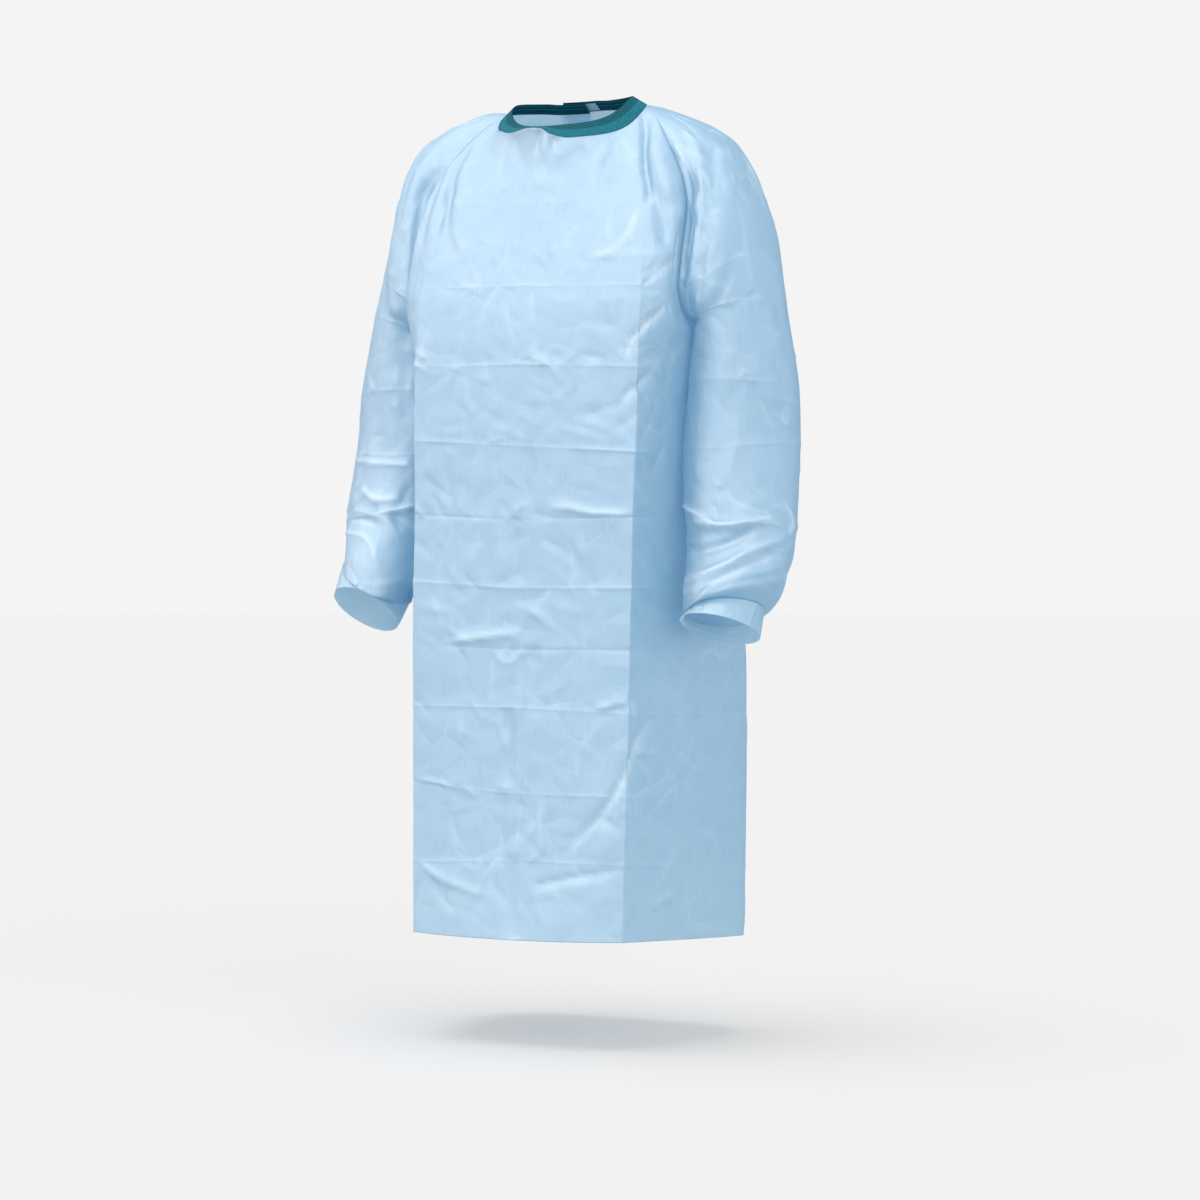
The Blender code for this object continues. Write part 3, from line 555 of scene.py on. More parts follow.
def nonwoven(name, low, high, through_share, roughness, gloss):
    """Nonwoven: cloudy colour, faint streaks down the cloth, fine grain and a slight crinkle, and
    creases painted whiter, partly the film's own whitening and partly a painted highlight.
    through_share is how much of the light goes on through it; gloss is the film's index of refraction, by
    which it throws back much of the pale studio."""
    material, tree, shader = new_finish(name, roughness, 0.5)
    shader.inputs["IOR"].default_value = gloss
    cloth, streaks = scaled_map(tree, (1, 1, 1)), scaled_map(tree, (1, 0.06, 1))
    clouds = noise(tree, cloth, 38.0, 4.0, 0.6)
    lines = noise(tree, streaks, 420.0, 3.0, 0.6)
    mixed = add_node(tree, "Math", {0: clouds, 1: lines})
    cells = crumple(tree, cloth, 19.0)
    # The crinkle's edges, in patches, and the creases are painted whiter: partly the film's own whitening,
    # partly a painted highlight.
    crinkle_white_and_highlight = ramp(tree, cells, (1, 1, 1), (0, 0, 0), 0.0, 0.035)
    patchy = ramp(tree, noise(tree, cloth, 9.0, 1.0), (0, 0, 0), (0.30, 0.30, 0.30), 0.46, 0.62)
    crease_white_and_highlight = add_node(tree, "Attribute", attribute_name="crease_white_and_highlight")
    marks = add_node(tree, "Math", {0: crinkle_white_and_highlight, 1: patchy, 2: crease_white_and_highlight.outputs["Fac"]}, operation="MULTIPLY_ADD")
    colour = ramp(tree, mixed.outputs["Value"], low, high, 0.75, 1.25)
    whitened_and_highlit = add_node(tree, "Mix", {0: marks.outputs["Value"], 6: colour}, data_type="RGBA")
    whitened_and_highlit.inputs[7].default_value = (*CREASE_WHITE_AND_HIGHLIGHT_COLOUR, 1)
    grain = bump(tree, noise(tree, cloth, 1100.0, 2.0), 0.25, 0.0002)
    ribs = bump(tree, lines, 0.3, 0.0003, grain)
    creased = bump(tree, cells, 1.0, 0.0024, ribs)
    feed(tree, shader, {"Base Color": whitened_and_highlit.outputs[2], "Normal": creased})
    through = add_node(tree, "BsdfTranslucent", Color=(*GLOW, 1))
    both = add_node(tree, "MixShader", {1: shader.outputs["BSDF"], 2: through.outputs["BSDF"]},
                    Fac=through_share)
    feed(tree, tree.nodes["Material Output"], {"Surface": both.outputs["Shader"]})
    return material


GLOW = (0.79, 0.93, 1.0)   # colour of the light that has come through the cloth
# colour of the whitened creases: partly the film's own whitening, partly a painted highlight
CREASE_WHITE_AND_HIGHLIGHT_COLOUR = (0.62, 0.78, 0.90)
FILM_SIDE = nonwoven("film_side_light_blue", (0.145, 0.345, 0.515), (0.235, 0.435, 0.605), 0.52, 0.58, 2.8)
FIBRE_SIDE = nonwoven("fibre_side_light_blue", (0.58, 0.82, 0.95), (0.66, 0.86, 0.98), 0.64, 0.70, 1.6)


def seat(piece, node, slot, flat, **cut):
    """Puts a piece in the place of its solid: hangs it under the root and hides the solid; the cut of its
    sheet (flat and cut) is not used.
    """
    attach(piece, "root")
    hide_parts(node)


def finish_cloth(piece, node, flat, area):
    """Cloth of the gown: film outside, bare fibre inside."""
    piece.data.materials.append(FILM_SIDE)
    piece.data.materials.append(FIBRE_SIDE)
    seat(piece, node, "cloth", flat, area=area)


FRONT_PLACES = (-2, -1, 0, 1, 2)
FRONT_WIDTHS = (-395, -165, 165, 395)      # across -2, -1, 1 and 2 in millimetres at the hip
columns = stations(FRONT_WIDTHS, (7.0, 4.4, 4.4))
across = np.interp(columns, FRONT_WIDTHS, (-2, -1, 1, 2))
grid, down, marks = packed_grid(front_point, 0.5, HEM, 5.4, across, FRONT_PLACES, FRONT_LINES)
base = front_point(across[None, :] + 0 * grid, grid)
far = edge_distances(base)
# seed, number, stretch across, stretch of levels, greatest length and height
strewn = (scattered(3, 90, (-0.95, 0.98), (1.0, 10.0), 32, 0.9)
          + scattered(6, 130, (-0.95, 0.98), (9.0, 16.8), 32, 0.9)
          + scattered(4, 70, (1.05, 1.9), (4, 16.8), 30, 0.9)
          + scattered(5, 60, (-1.9, -1.05), (4, 16.8), 30, 0.9))
front = crumpled_sheet("front_cloth", front_point, base, (down, marks, across, FRONT_PLACES, FRONT_LINES),
                       (FRONT_FOLDS, BODY_FOLD_DEPTH), FRONT_CREASES + strewn, seam_fade(far, grid), far,
                       (11, 21))
finish_cloth(front, "front_panel", (0.80, 1.10), 0.80)


# ---------------------------------------------------------------- back panels
# Two pieces of the same cloth, open all the way down the middle.  The left one laps outside the
# right one, and only the neck binding holds them together.

LEFT_EDGE_X, RIGHT_EDGE_X = -45.0, -5.0
LAP_STEP, LAP_RAMP, LAP_TILT = 2.4, 30.0, 45.0
LOOP_PATCH_END = 11.0      # the left panel's step begins past the loop patch
BACK_ROWS = [PanelRow(*row) for row in (
    (67, 17, 70, 52, 17, 0),
    (74, -6, 86, 62, -2, 2),
    (85, -38, 100, 78, -30, 3),
    (97, -74, 116, 94, -64, 4),
    (109, -112, 131, 108, -100, 5),
    (119, -152, 144, 118, -142, 6),
    (127, -192, 153, 125, -184, 6),
    (134, -234, 159, 130, -228, 5),
    (139, -276, 163, 134, -272, 4),
    (143, -316, 165, 137, -314, 2),
    (146, -356, 166, 139, -355, 0),
    (149, -430, 166, 142, -430, 0),
    (153, -520, 166, 146, -520, 2),
    (158, -620, 166, 150, -620, 5),
    (163, -720, 166, 154, -720, 8),
    (168, -840, 166, 158, -840, 9),
    (174, -980, 166, 162, -980, 8),
    (180, -1127, 166, 166, -1127, 6),
)]
RAGLAN_BACK = [SeamRow(*row) for row in (
    (120, 50, 6), (145, 60, -14), (167, 67, -42),
    (183, 71, -76), (193, 74, -114), (198, 77, -156), (199, 80, -198),
    (198, 80, -242), (196, 54, -280), (196, 4, -300),
)]
BACK_FOLD_WIDTH, BACK_WIDTH = 166, 330     # at the hip, from the middle of the back
BACK_PLACES = (-0.3, 0.3, 0.9, 1.3, 2)     # where the creases' heights are told
BACK_ROW_PLACES = (0, 0.4, 0.8, 1.2, 2)    # where their levels are told
FREE_EDGE = 60             # width beside the free edge in which the folds die away
BACK_LINES = [PackLine(*row) for row in (
    ((3.4, 3.3, 3.4, 3.5, 4.2), (0.5, 0.6, 0.4, 0.5, 0.4), 4.0),
    ((6.3, 6.2, 6.3, 6.5, 7.8), (0.8, 0.9, 0.7, 0.8, 0.5), 4.5),
    ((9.8, 9.8, 9.8, 9.9, 10.5), (-0.8, -0.9, -1.1, -0.8, -0.6), 4.5),
    ((11.4, 11.4, 11.45, 11.5, 11.7), (1.0, 1.2, 0.9, 1.0, 0.8), 5.0),
    ((12.45, 12.4, 12.4, 12.45, 12.5), (-0.7, -1.0, -0.8, -0.8, -0.6), 4.0),
    ((13.3, 13.35, 13.4, 13.35, 13.4), (1.0, 1.1, 1.3, 0.9, 0.8), 5.0),
    ((14.15, 14.1, 14.1, 14.15, 14.2), (-0.8, -1.0, -1.2, -0.8, -0.7), 4.5),
    ((14.8, 14.85, 14.85, 14.8, 14.9), (0.8, 0.7, 0.9, 0.8, 0.6), 4.0),
    ((15.6, 15.65, 15.6, 15.6, 15.65), (-0.7, -0.6, -0.9, -0.5, -0.5), 4.0),
    ((16.3, 16.3, 16.25, 16.3, 16.35), (0.7, 0.8, 0.6, 0.7, 0.6), 4.0),
)]
BACK_FOLDS = [Fold(*row) for row in (
    (-5.0, 14, ((1.25, 1.0), (1.20, 2.6), (1.15, 4.6))),
    (-5.0, 14, ((1.60, 3.5), (1.50, 5.2), (1.45, 7.0))),
    (-3.0, 14, ((0.55, 0.8), (0.60, 2.0), (0.62, 3.6))),
    (-2.5, 10, ((0.95, 0.6), (0.98, 1.8), (1.02, 3.2))),
    (3.0, 12, ((0.75, 1.0), (0.82, 2.8), (0.80, 4.6))),
    (-2.2, 11, ((0.35, 5.0), (0.42, 7.5), (0.40, 9.6))),
    (-4.0, 14, ((1.80, 5.4), (1.74, 7.2), (1.80, 8.8))),
    (-1.8, 11, ((0.30, 11.5), (0.33, 12.3))),
    (-2.0, 12, ((0.62, 13.4), (0.60, 14.0))),
    (-2.2, 11, ((0.28, 14.9), (0.26, 15.6))),
    (-2.0, 12, ((0.70, 16.1), (0.72, 17.0))),
)]
BACK_CREASES = [Fold(*row) for row in (
    (2.2, 4.0, ((1.02, 4.4), (0.90, 5.2), (0.70, 5.6))),
    (-2.6, 3.8, ((0.98, 8.2), (1.15, 7.8), (1.40, 7.6))),
    (-2.2, 3.6, ((0.90, 10.6), (1.02, 10.4), (1.20, 10.25))),
    (2.4, 3.8, ((0.30, 12.3), (0.60, 12.3), (0.98, 12.36))),
    (1.4, 3.4, ((0.35, 11.2), (0.55, 11.28), (0.75, 11.3))),
    (-1.5, 3.4, ((0.45, 7.4), (0.50, 6.9), (0.62, 6.3))),
    (1.6, 3.4, ((0.20, 14.2), (0.38, 14.3), (0.50, 14.15))),
    (-2.4, 4.0, ((1.18, 14.5), (1.02, 14.75), (0.88, 15.0), (0.66, 15.2))),
    (1.8, 3.8, ((0.15, 16.4), (0.50, 16.35), (0.95, 16.3))),
)]


def raglan_back(level):
    return read_rows([neck_seam(SLEEVE_NECK_ANGLES[-1]), *RAGLAN_BACK], np.minimum(level, ARMPIT))


def back_point(across, level):
    across, level = as_grids(across, level)
    angle = np.where(across <= 1, 90 - (90 - BACK_FOLD_ANGLE) * across,
                     BACK_FOLD_ANGLE + (SLEEVE_NECK_ANGLES[-1] - BACK_FOLD_ANGLE) * (across - 1))
    return eased_panel(BACK_ROWS, raglan_back, 1, across, level, angle)


def lap_direction(level):
    """Off the common surface in the lap: leaning up at the neck, level with the floor below it."""
    lean = math.radians(LAP_TILT) * (1 - smooth_step(level / 3))
    return stacked(0 * lean, np.cos(lean), np.sin(lean))


def lap_offset(x, level, lap_sign):
    """How far the left panel (1) steps out, or the right one (-1) steps in, where they lap."""
    ramp_end = (LOOP_PATCH_END if lap_sign > 0 else -LEFT_EDGE_X) + LAP_RAMP
    lap = lap_sign * LAP_STEP * smooth_step((ramp_end - x) / LAP_RAMP)
    return lap[..., None] * lap_direction(level)


def add_back(side, edge_x, lap_sign, seed, flat, area):
    """A back panel, worked out on the wearer's left; edge_x is its free edge."""
    widths = (edge_x, BACK_FOLD_WIDTH, BACK_WIDTH)
    columns = stations(widths, (4.8, 4.8))
    across = np.interp(columns, widths, (0, 1, 2))
    grid, down, marks = packed_grid(back_point, 0.5, HEM, 5.6, across, BACK_ROW_PLACES, BACK_LINES)
    fold_x = read_rows(BACK_ROWS, grid)[..., 2]
    reach = np.where(across <= 1, edge_x / fold_x + across * (1 - edge_x / fold_x), across)
    base = back_point(reach, grid) + lap_offset(fold_x * reach, grid, lap_sign)
    far = edge_distances(base, both=False)
    strewn = scattered(seed, 90, (0.0, 1.9), (4, 16.8), 28, 0.9)
    fade = seam_fade(far, grid) * smooth_step((columns - edge_x) / FREE_EDGE)
    piece = crumpled_sheet(f"back_cloth_{side}", back_point, base,
                           (down, marks, across, BACK_PLACES, BACK_LINES), (BACK_FOLDS, BODY_FOLD_DEPTH),
                           BACK_CREASES + strewn, fade, far, (seed, seed + 1), -1, side == "right")
    finish_cloth(piece, f"back_panel_{side}", flat, area)


add_back("left", LEFT_EDGE_X, 1, 31, (0.38, 1.15), 0.40)
add_back("right", -RIGHT_EDGE_X, -1, 41, (0.33, 1.15), 0.34)


# ---------------------------------------------------------------- raglan sleeves
# Each sleeve is one piece, closed by a seam under the arm and sewn to the neck binding, front and
# back.  It hangs full, with crumpled folds at its head, and blouses over the narrower cuff.

SLEEVE_END = 17
YokeRow = namedtuple("YokeRow", "front_x front_y front_z top_x top_y top_z back_x back_y back_z")
SLEEVE_YOKE = [YokeRow(*row) for row in (
    (134, 4, 1, 134, 18, 6, 129, 35, 8),
    (162, -8, -16, 164, 16, -5, 157, 42, -6),
    (188, -20, -38, 193, 16, -18, 186, 50, -24),
    (212, -30, -62, 220, 16, -34, 211, 56, -44),
    (231, -42, -92, 243, 16, -56, 231, 62, -72),
    (243, -54, -128, 261, 15, -86, 247, 68, -108),
    (250, -62, -168, 277, 14, -124, 259, 74, -152),
    (253, -66, -212, 291, 12, -168, 266, 76, -200),
    (251, -68, -254, 303, 10, -218, 265, 75, -246),
    (249, -66, -292, 313, 8, -272, 263, 71, -290),
)]
# The wearer's right shoulder stands higher and squarer
LiftRow = namedtuple("LiftRow", "out up")
RIGHT_SHOULDER_LIFT = [LiftRow(*row) for row in (
    (4, 12), (6, 16), (9, 18), (13, 17), (13, 10),
    (6, 3), (0, 0), (-2, -1), (-1, 0), (2, 0),
)]
SIDE_LIFT = 0.75           # share of it that the front and the back of the sleeve have
# Below the armpit: closed sections.  The last but one is the edge of the fold that hangs over the
# cuff, the last one the seam tucked up behind it.
TubeRow = namedtuple("TubeRow", "x y z half_x half_y skew tilt roll")
SLEEVE_TUBE = {
    "left": [
        TubeRow(264, -4, -372, 69, 66, 7, 0, 0),
        TubeRow(264, -9, -440, 74, 66, 8, 2, 0),
        TubeRow(268, -22, -502, 75, 62, 8, 6, 0),
        TubeRow(275, -36, -558, 72, 59, 8, 11, 0),
        TubeRow(279, -50, -615, 69, 57, 6, 14, -4),
        TubeRow(277, -71, -676, 63, 62, 4, 18, -22),
        TubeRow(271, -77, -686, 51, 46, 2, 21, -10),
    ],
    "right": [
        TubeRow(265, -4, -372, 69, 66, 7, 0, 0),
        TubeRow(265, -9, -440, 75, 66, 8, 2, 0),
        TubeRow(268, -22, -500, 75, 62, 8, 6, 0),
        TubeRow(273, -36, -550, 70, 59, 8, 11, 0),
        TubeRow(269, -54, -592, 62, 55, 6, 17, -5),
        TubeRow(262, -84, -647, 48, 60, 2, -6, -28),
        TubeRow(270, -74, -644, 50, 46, 2, 30, -19),
    ],
}
# across is 0 at the front seam, 1 in front, 2 on top of the arm, 3 behind and 4 at the back seam
SLEEVE_PLACES = (0, 1, 2, 3, 4)
QUARTER_GIRTH = 110        # mm round the arm for one step across
SLEEVE_LINES = [PackLine(*row) for row in (
    ((8.0, 8.35, 8.6, 8.3, 8.0), (0.6, 0.7, 0.5, 0.5, 0.5), 4.0),
    ((9.4, 9.7, 9.9, 9.7, 9.4), (0.5, 1.0, 0.6, 0.6, 0.5), 4.0),
    ((11.0, 11.03, 11.1, 11.1, 11.0), (0.9, 1.5, 0.4, 0.6, 0.8), 4.5),
    ((12.45, 12.5, 12.27, 12.3, 12.45), (0.9, 1.2, 1.2, 0.8, 0.8), 4.5),
    ((13.6, 14.4, 14.25, 13.9, 13.6), (0.5, 1.6, 1.0, 0.8, 0.5), 4.5),
)]
SLEEVE_FOLDS = [Fold(*row) for row in (
    # head of the sleeve
    (-9.0, 10, ((0.40, 3.6), (0.30, 5.0), (0.24, 6.6), (0.20, 8.2))),
    (-7.0, 11, ((1.40, 4.1), (1.05, 5.2), (0.78, 6.2), (0.60, 7.4))),
    (5.0, 9, ((1.05, 3.4), (0.78, 4.4), (0.60, 5.6))),
    (-5.5, 12, ((1.30, 5.4), (0.92, 6.8), (0.66, 8.2))),
    (5.0, 11, ((1.25, 6.8), (1.12, 8.0), (0.90, 9.3), (0.62, 10.3), (0.34, 11.1))),
    (-3.0, 11, ((1.70, 8.4), (1.84, 9.9), (2.10, 10.6))),
    (-6.0, 12, ((3.40, 4.4), (3.50, 6.4), (3.62, 8.4))),
    (-5.0, 14, ((2.85, 5.8), (3.00, 8.0), (3.25, 10.2))),
    (3.5, 12, ((3.15, 4.0), (3.25, 5.6), (3.35, 7.2))),
    # down the arm
    (-2.4, 10, ((1.28, 10.6), (1.20, 11.3), (1.05, 12.0), (0.90, 12.5))),
    (1.8, 9, ((1.28, 11.8), (1.20, 12.6), (1.10, 13.4))),
    (-2.0, 12, ((2.40, 11.2), (2.55, 12.4), (2.50, 13.4))),
    (-2.6, 12, ((3.10, 11.4), (3.25, 12.6), (3.15, 13.6))),
)]
# crumpled above the cuff of the left arm
LEFT_FOLDS = [Fold(*row) for row in (
    (6.0, 8, ((0.20, 15.4), (0.80, 15.5), (1.15, 15.4), (1.45, 15.0), (1.90, 14.5))),
    (-6.0, 7, ((0.25, 14.8), (0.70, 15.0), (1.10, 14.9), (1.45, 14.5))),
    (-5.0, 6, ((0.15, 16.0), (0.70, 16.2), (1.40, 16.0), (2.10, 15.5))),
    (5.0, 7, ((0.60, 14.3), (1.10, 14.45), (1.70, 14.1))),
    (-7.0, 10, ((2.00, 14.9), (2.50, 15.5), (3.20, 15.4))),
    (-8.0, 10, ((3.00, 14.3), (3.50, 14.7), (3.95, 14.5))),
    (7.0, 10, ((2.60, 14.5), (3.10, 14.9), (3.60, 15.4))),
    (-4.0, 7, ((0.10, 14.2), (0.40, 14.6), (0.75, 14.7))),
    (-5.0, 7, ((1.60, 16.0), (2.20, 16.3), (2.90, 16.2))),
)]
LEFT_CREASES = [Fold(*row) for row in (
    (2.5, 4.5, ((0.20, 15.4), (0.80, 15.5), (1.15, 15.4), (1.45, 15.0), (1.90, 14.5))),
    (-2.2, 4.5, ((0.25, 14.8), (0.70, 15.0), (1.10, 14.9), (1.45, 14.5))),
    (2.2, 4.0, ((0.60, 14.3), (1.10, 14.45), (1.70, 14.1))),
    (-2.2, 4.0, ((0.45, 15.9), (0.90, 15.8), (1.40, 15.5), (1.80, 15.0))),
)]
SLEEVE_CREASES = [Fold(*row) for row in (
    (2.6, 4.0, ((0.25, 13.8), (0.62, 14.1), (0.95, 14.38))),
    (-1.6, 3.4, ((0.96, 13.9), (0.97, 14.4))),
    (-1.6, 3.4, ((1.12, 13.3), (1.16, 13.75), (1.48, 14.0), (1.82, 14.0))),
    (2.4, 4.0, ((1.80, 13.7), (2.00, 14.15), (1.92, 14.5))),
    (2.0, 4.0, ((0.20, 15.5), (0.55, 15.65), (1.00, 15.8))),
    (2.6, 4.5, ((1.00, 15.8), (0.70, 16.3), (0.30, 16.7))),
    (1.2, 3.4, ((1.32, 10.85), (1.24, 11.06))),
    (-1.2, 3.4, ((1.48, 11.4), (1.64, 12.0))),
    (2.2, 4.0, ((2.30, 14.0), (2.60, 14.5), (2.70, 15.1))),
    (2.0, 4.0, ((3.30, 14.0), (3.50, 14.6), (3.90, 14.9))),
    (-2.0, 4.0, ((2.90, 15.7), (3.30, 16.1), (3.80, 16.2))),
)]


def tube_points(row):
    """Inner, front, outer and back points of a closed sleeve section."""
    lean, turn = math.tan(math.radians(row.tilt)), math.tan(math.radians(row.roll))
    offsets = [(-row.half_x, -row.skew), (-row.skew, -row.half_y),
               (row.half_x, row.skew), (row.skew, row.half_y)]
    return np.array([(row.x + dx, row.y + dy, row.z - dy * lean - dx * turn) for dx, dy in offsets])


NECK_FULLNESS, ARM_FULLNESS = 1.15, 0.45   # roundness at the neck, and what the arm adds to it


def round_curve(points, across, closed, fullness):
    """A smooth curve through each row of points; across counts them."""
    slopes = np.zeros_like(points)
    slopes[..., 1:-1, :] = (points[..., 2:, :] - points[..., :-2, :]) / 2 * fullness[..., None, None]
    ring = (points[..., 1, :] - points[..., -2, :]) / 2 * fullness[..., None]
    start = 1.5 * (points[..., 1, :] - points[..., 0, :]) - 0.5 * slopes[..., 1, :]
    end = 1.5 * (points[..., -1, :] - points[..., -2, :]) - 0.5 * slopes[..., -2, :]
    slopes[..., 0, :] = np.where(closed[..., None], ring, start)
    slopes[..., -1, :] = np.where(closed[..., None], ring, end)
    base = np.clip(np.floor(across).astype(int), 0, points.shape[-2] - 2)[..., None, None]
    p, q = (np.take_along_axis(points, base + k, -2)[..., 0, :] for k in (0, 1))
    m, n = (np.take_along_axis(slopes, base + k, -2)[..., 0, :] for k in (0, 1))
    t = (across - base[..., 0, 0])[..., None]
    line = p * (1 + 2 * t) * (1 - t) ** 2 + q * t * t * (3 - 2 * t)
    return line + m * t * (1 - t) ** 2 - n * t * t * (1 - t)


def sleeve_yoke(side):
    """The points of each row above the armpit, lifted at the right shoulder."""
    rows = np.array(SLEEVE_YOKE, float)
    if side == "right":
        for row, (out, up) in zip(rows, RIGHT_SHOULDER_LIFT):
            row += np.outer((SIDE_LIFT, 1, SIDE_LIFT), (out, 0, up)).reshape(-1)
    return list(rows)


def sleeve_point(side, across, level):
    across, level = as_grids(across, level)
    closed = level >= ARMPIT
    neck = np.concatenate([neck_seam(angle) for angle in SLEEVE_NECK_ANGLES[1:-1]])
    tube = [tube_points(row) for row in SLEEVE_TUBE[side]]
    middle = read_rows([neck, *sleeve_yoke(side), *(points[1:].reshape(-1) for points in tube)], level)
    inner = read_rows([RAGLAN_FRONT[-1], *(points[0] for points in tube)], np.maximum(level - ARMPIT, 0))
    first = np.where(closed[..., None], inner, raglan_front(level))
    last = np.where(closed[..., None], inner, raglan_back(level))
    middle = np.moveaxis(middle.reshape(*level.shape, 3, 3), -2, 0)
    controls = np.stack([first, *middle, last], axis=-2)
    return round_curve(controls, across, closed, NECK_FULLNESS + ARM_FULLNESS * smooth_step(level / ARMPIT))


UNDER_SEAM = 0.12          # stretch across beside the seam under the arm in which the folds die away


def add_sleeve(side, folds, creases, seed):
    surface = partial(sleeve_point, side)
    columns = stations([QUARTER_GIRTH * k for k in SLEEVE_PLACES], (3.8, 3.8, 4.6, 4.6), fine=3.2)
    across = columns / QUARTER_GIRTH
    grid, down, marks = packed_grid(surface, 1.0, SLEEVE_END, 3.8, across, SLEEVE_PLACES, SLEEVE_LINES)
    base = surface(across[None, :] + 0 * grid, grid)
    far = np.where(grid < ARMPIT, edge_distances(base), 99.0)
    strewn = scattered(seed, 210, (0.15, 3.85), (2, 16), 30, 1.1)
    under = smooth_step(np.minimum(across, 4 - across) / UNDER_SEAM)
    fade = seam_fade(far, grid) * under * smooth_step((SLEEVE_END - 0.6 - grid) / 0.5)
    piece = crumpled_sheet(f"sleeve_cloth_{side}", surface, base,
                           (down, marks, across, SLEEVE_PLACES, SLEEVE_LINES), (folds, SLEEVE_FOLD_DEPTH),
                           creases + strewn, fade, far, (seed, seed + 1), mirrored=side == "right")
    finish_cloth(piece, f"sleeve_{side}", (0.47, 0.75), 0.27)


# on the right arm: troughs beside the body and sharp folds above the cuff
RIGHT_FOLDS = [Fold(*row) for row in (
    (-6.0, 9, ((1.72, 2.15), (1.72, 3.05), (1.68, 3.7))),
    (-5.0, 8, ((0.16, 3.1), (0.28, 4.05), (0.48, 5.2))),
    (-6.0, 12, ((0.86, 9.2), (0.80, 9.9), (0.72, 11.2), (0.64, 12.6))),
    (-4.0, 10, ((0.50, 13.2), (0.62, 14.0), (0.55, 15.0))),
    (-7.0, 10, ((2.00, 14.6), (2.50, 15.1), (3.20, 15.0))),
    (-8.0, 10, ((3.00, 14.3), (3.50, 14.7), (3.95, 14.5))),
    (7.0, 10, ((2.60, 14.3), (3.10, 14.7), (3.60, 15.2))),
)]
RIGHT_CREASES = [Fold(*row) for row in (
    (2.2, 4.0, ((1.72, 12.5), (1.00, 12.7), (0.56, 12.75))),
    (-2.4, 5.0, ((0.72, 14.25), (0.45, 14.5), (0.20, 14.6))),
    (3.4, 6.0, ((1.30, 13.3), (0.95, 13.8), (0.60, 13.7))),
    (2.4, 4.5, ((1.75, 14.8), (1.40, 15.0), (1.05, 15.1), (0.70, 15.5))),
    (-2.0, 4.5, ((1.45, 14.4), (1.10, 14.6), (0.75, 15.0))),
    (1.6, 4.0, ((1.50, 14.0), (1.15, 14.2), (0.75, 14.6), (0.45, 15.1))),
    (-1.5, 4.0, ((1.35, 15.6), (1.05, 15.8), (0.75, 16.1))),
)]
add_sleeve("left", SLEEVE_FOLDS + LEFT_FOLDS, SLEEVE_CREASES + LEFT_CREASES, 51)
add_sleeve("right", SLEEVE_FOLDS + RIGHT_FOLDS, SLEEVE_CREASES + RIGHT_CREASES, 61)


# ---------------------------------------------------------------- cuffs
# A short tube of the same cloth on the end of each sleeve, narrower than the sleeve, with a
# narrow turned hem.

CUFF_TUBE = {
    "left": [
        SLEEVE_TUBE["left"][-1],
        TubeRow(270, -85, -698, 52, 48, 2, 22, -4),
        TubeRow(269, -92, -708, 53, 49, 2, 23, 3),
    ],
    "right": [
        SLEEVE_TUBE["right"][-1],
        TubeRow(273, -85, -664, 49, 45, 2, 33, -15),
        TubeRow(276, -95, -683, 48, 43, 2, 35, -11),
    ],
}
CUFF_END = 2
CUFF_FULLNESS = 1.6
CUFF_COLUMNS, CUFF_ROWS = 150, 22
CUFF_SEAM = 1.78           # where its own seam runs, counted as on the sleeve
HEM_LINE = 9.0             # how far above the rim the hem is sewn


def cuff_point(side, across, level):
    across, level = as_grids(across, level)
    inner, front, outer, back = (read_rows([tube_points(row)[k] for row in CUFF_TUBE[side]], level)
                                 for k in range(4))
    controls = np.stack([inner, front, outer, back, inner], axis=-2)
    return round_curve(controls, across, level < np.inf, np.full(level.shape, CUFF_FULLNESS))


def add_cuff(side, seed):
    spots = random.Random(seed)
    across = np.linspace(0, 4, CUFF_COLUMNS)
    base = cuff_point(side, across, np.linspace(0, CUFF_END, CUFF_ROWS)[:, None])
    up = run_lengths(base[::-1], 0)[::-1]
    turns = across * math.pi / 2
    ripples = sum(np.sin(turns * spots.randint(9, 34) + spots.uniform(0, 6)) for _ in range(6))
    along = run_lengths(base, 1)
    beside = along - np.interp(CUFF_SEAM, across, along[-1])
    hem = 0.22 * ripples * np.exp(-np.abs(up - HEM_LINE) / 7) - 0.5 * np.exp(-((up - HEM_LINE) / 1.3) ** 2)
    seam = 1.2 * np.exp(-(beside / 2.2) ** 2) - 0.9 * np.exp(-((beside - 3.5) / 1.3) ** 2)
    points = base + outward_normals(base) * (hem + seam)[..., None]
    points[:, 0] = points[:, -1] = (points[:, 0] + points[:, -1]) / 2
    if side == "right":
        points = points * (-1, 1, 1)
    piece = cloth_sheet(f"cuff_cloth_{side}", points, side == "right", closed=True)
    finish_cloth(piece, f"cuff_{side}", (0.31, 0.038), None)


add_cuff("left", 71)
add_cuff("right", 81)


# ---------------------------------------------------------------- neck binding
# A strip of teal knit, folded over the neck edge and sewn down with rows of stitches near its
# fold.  Its right end lies inside the left one.

BOUND_RING_X, BOUND_RING_FRONT, BOUND_RING_BACK = 91.0, 48.0, 50.0
BOUND_RING_RISE = RingRise(4.0, 24.0, 20.0, 22.0)


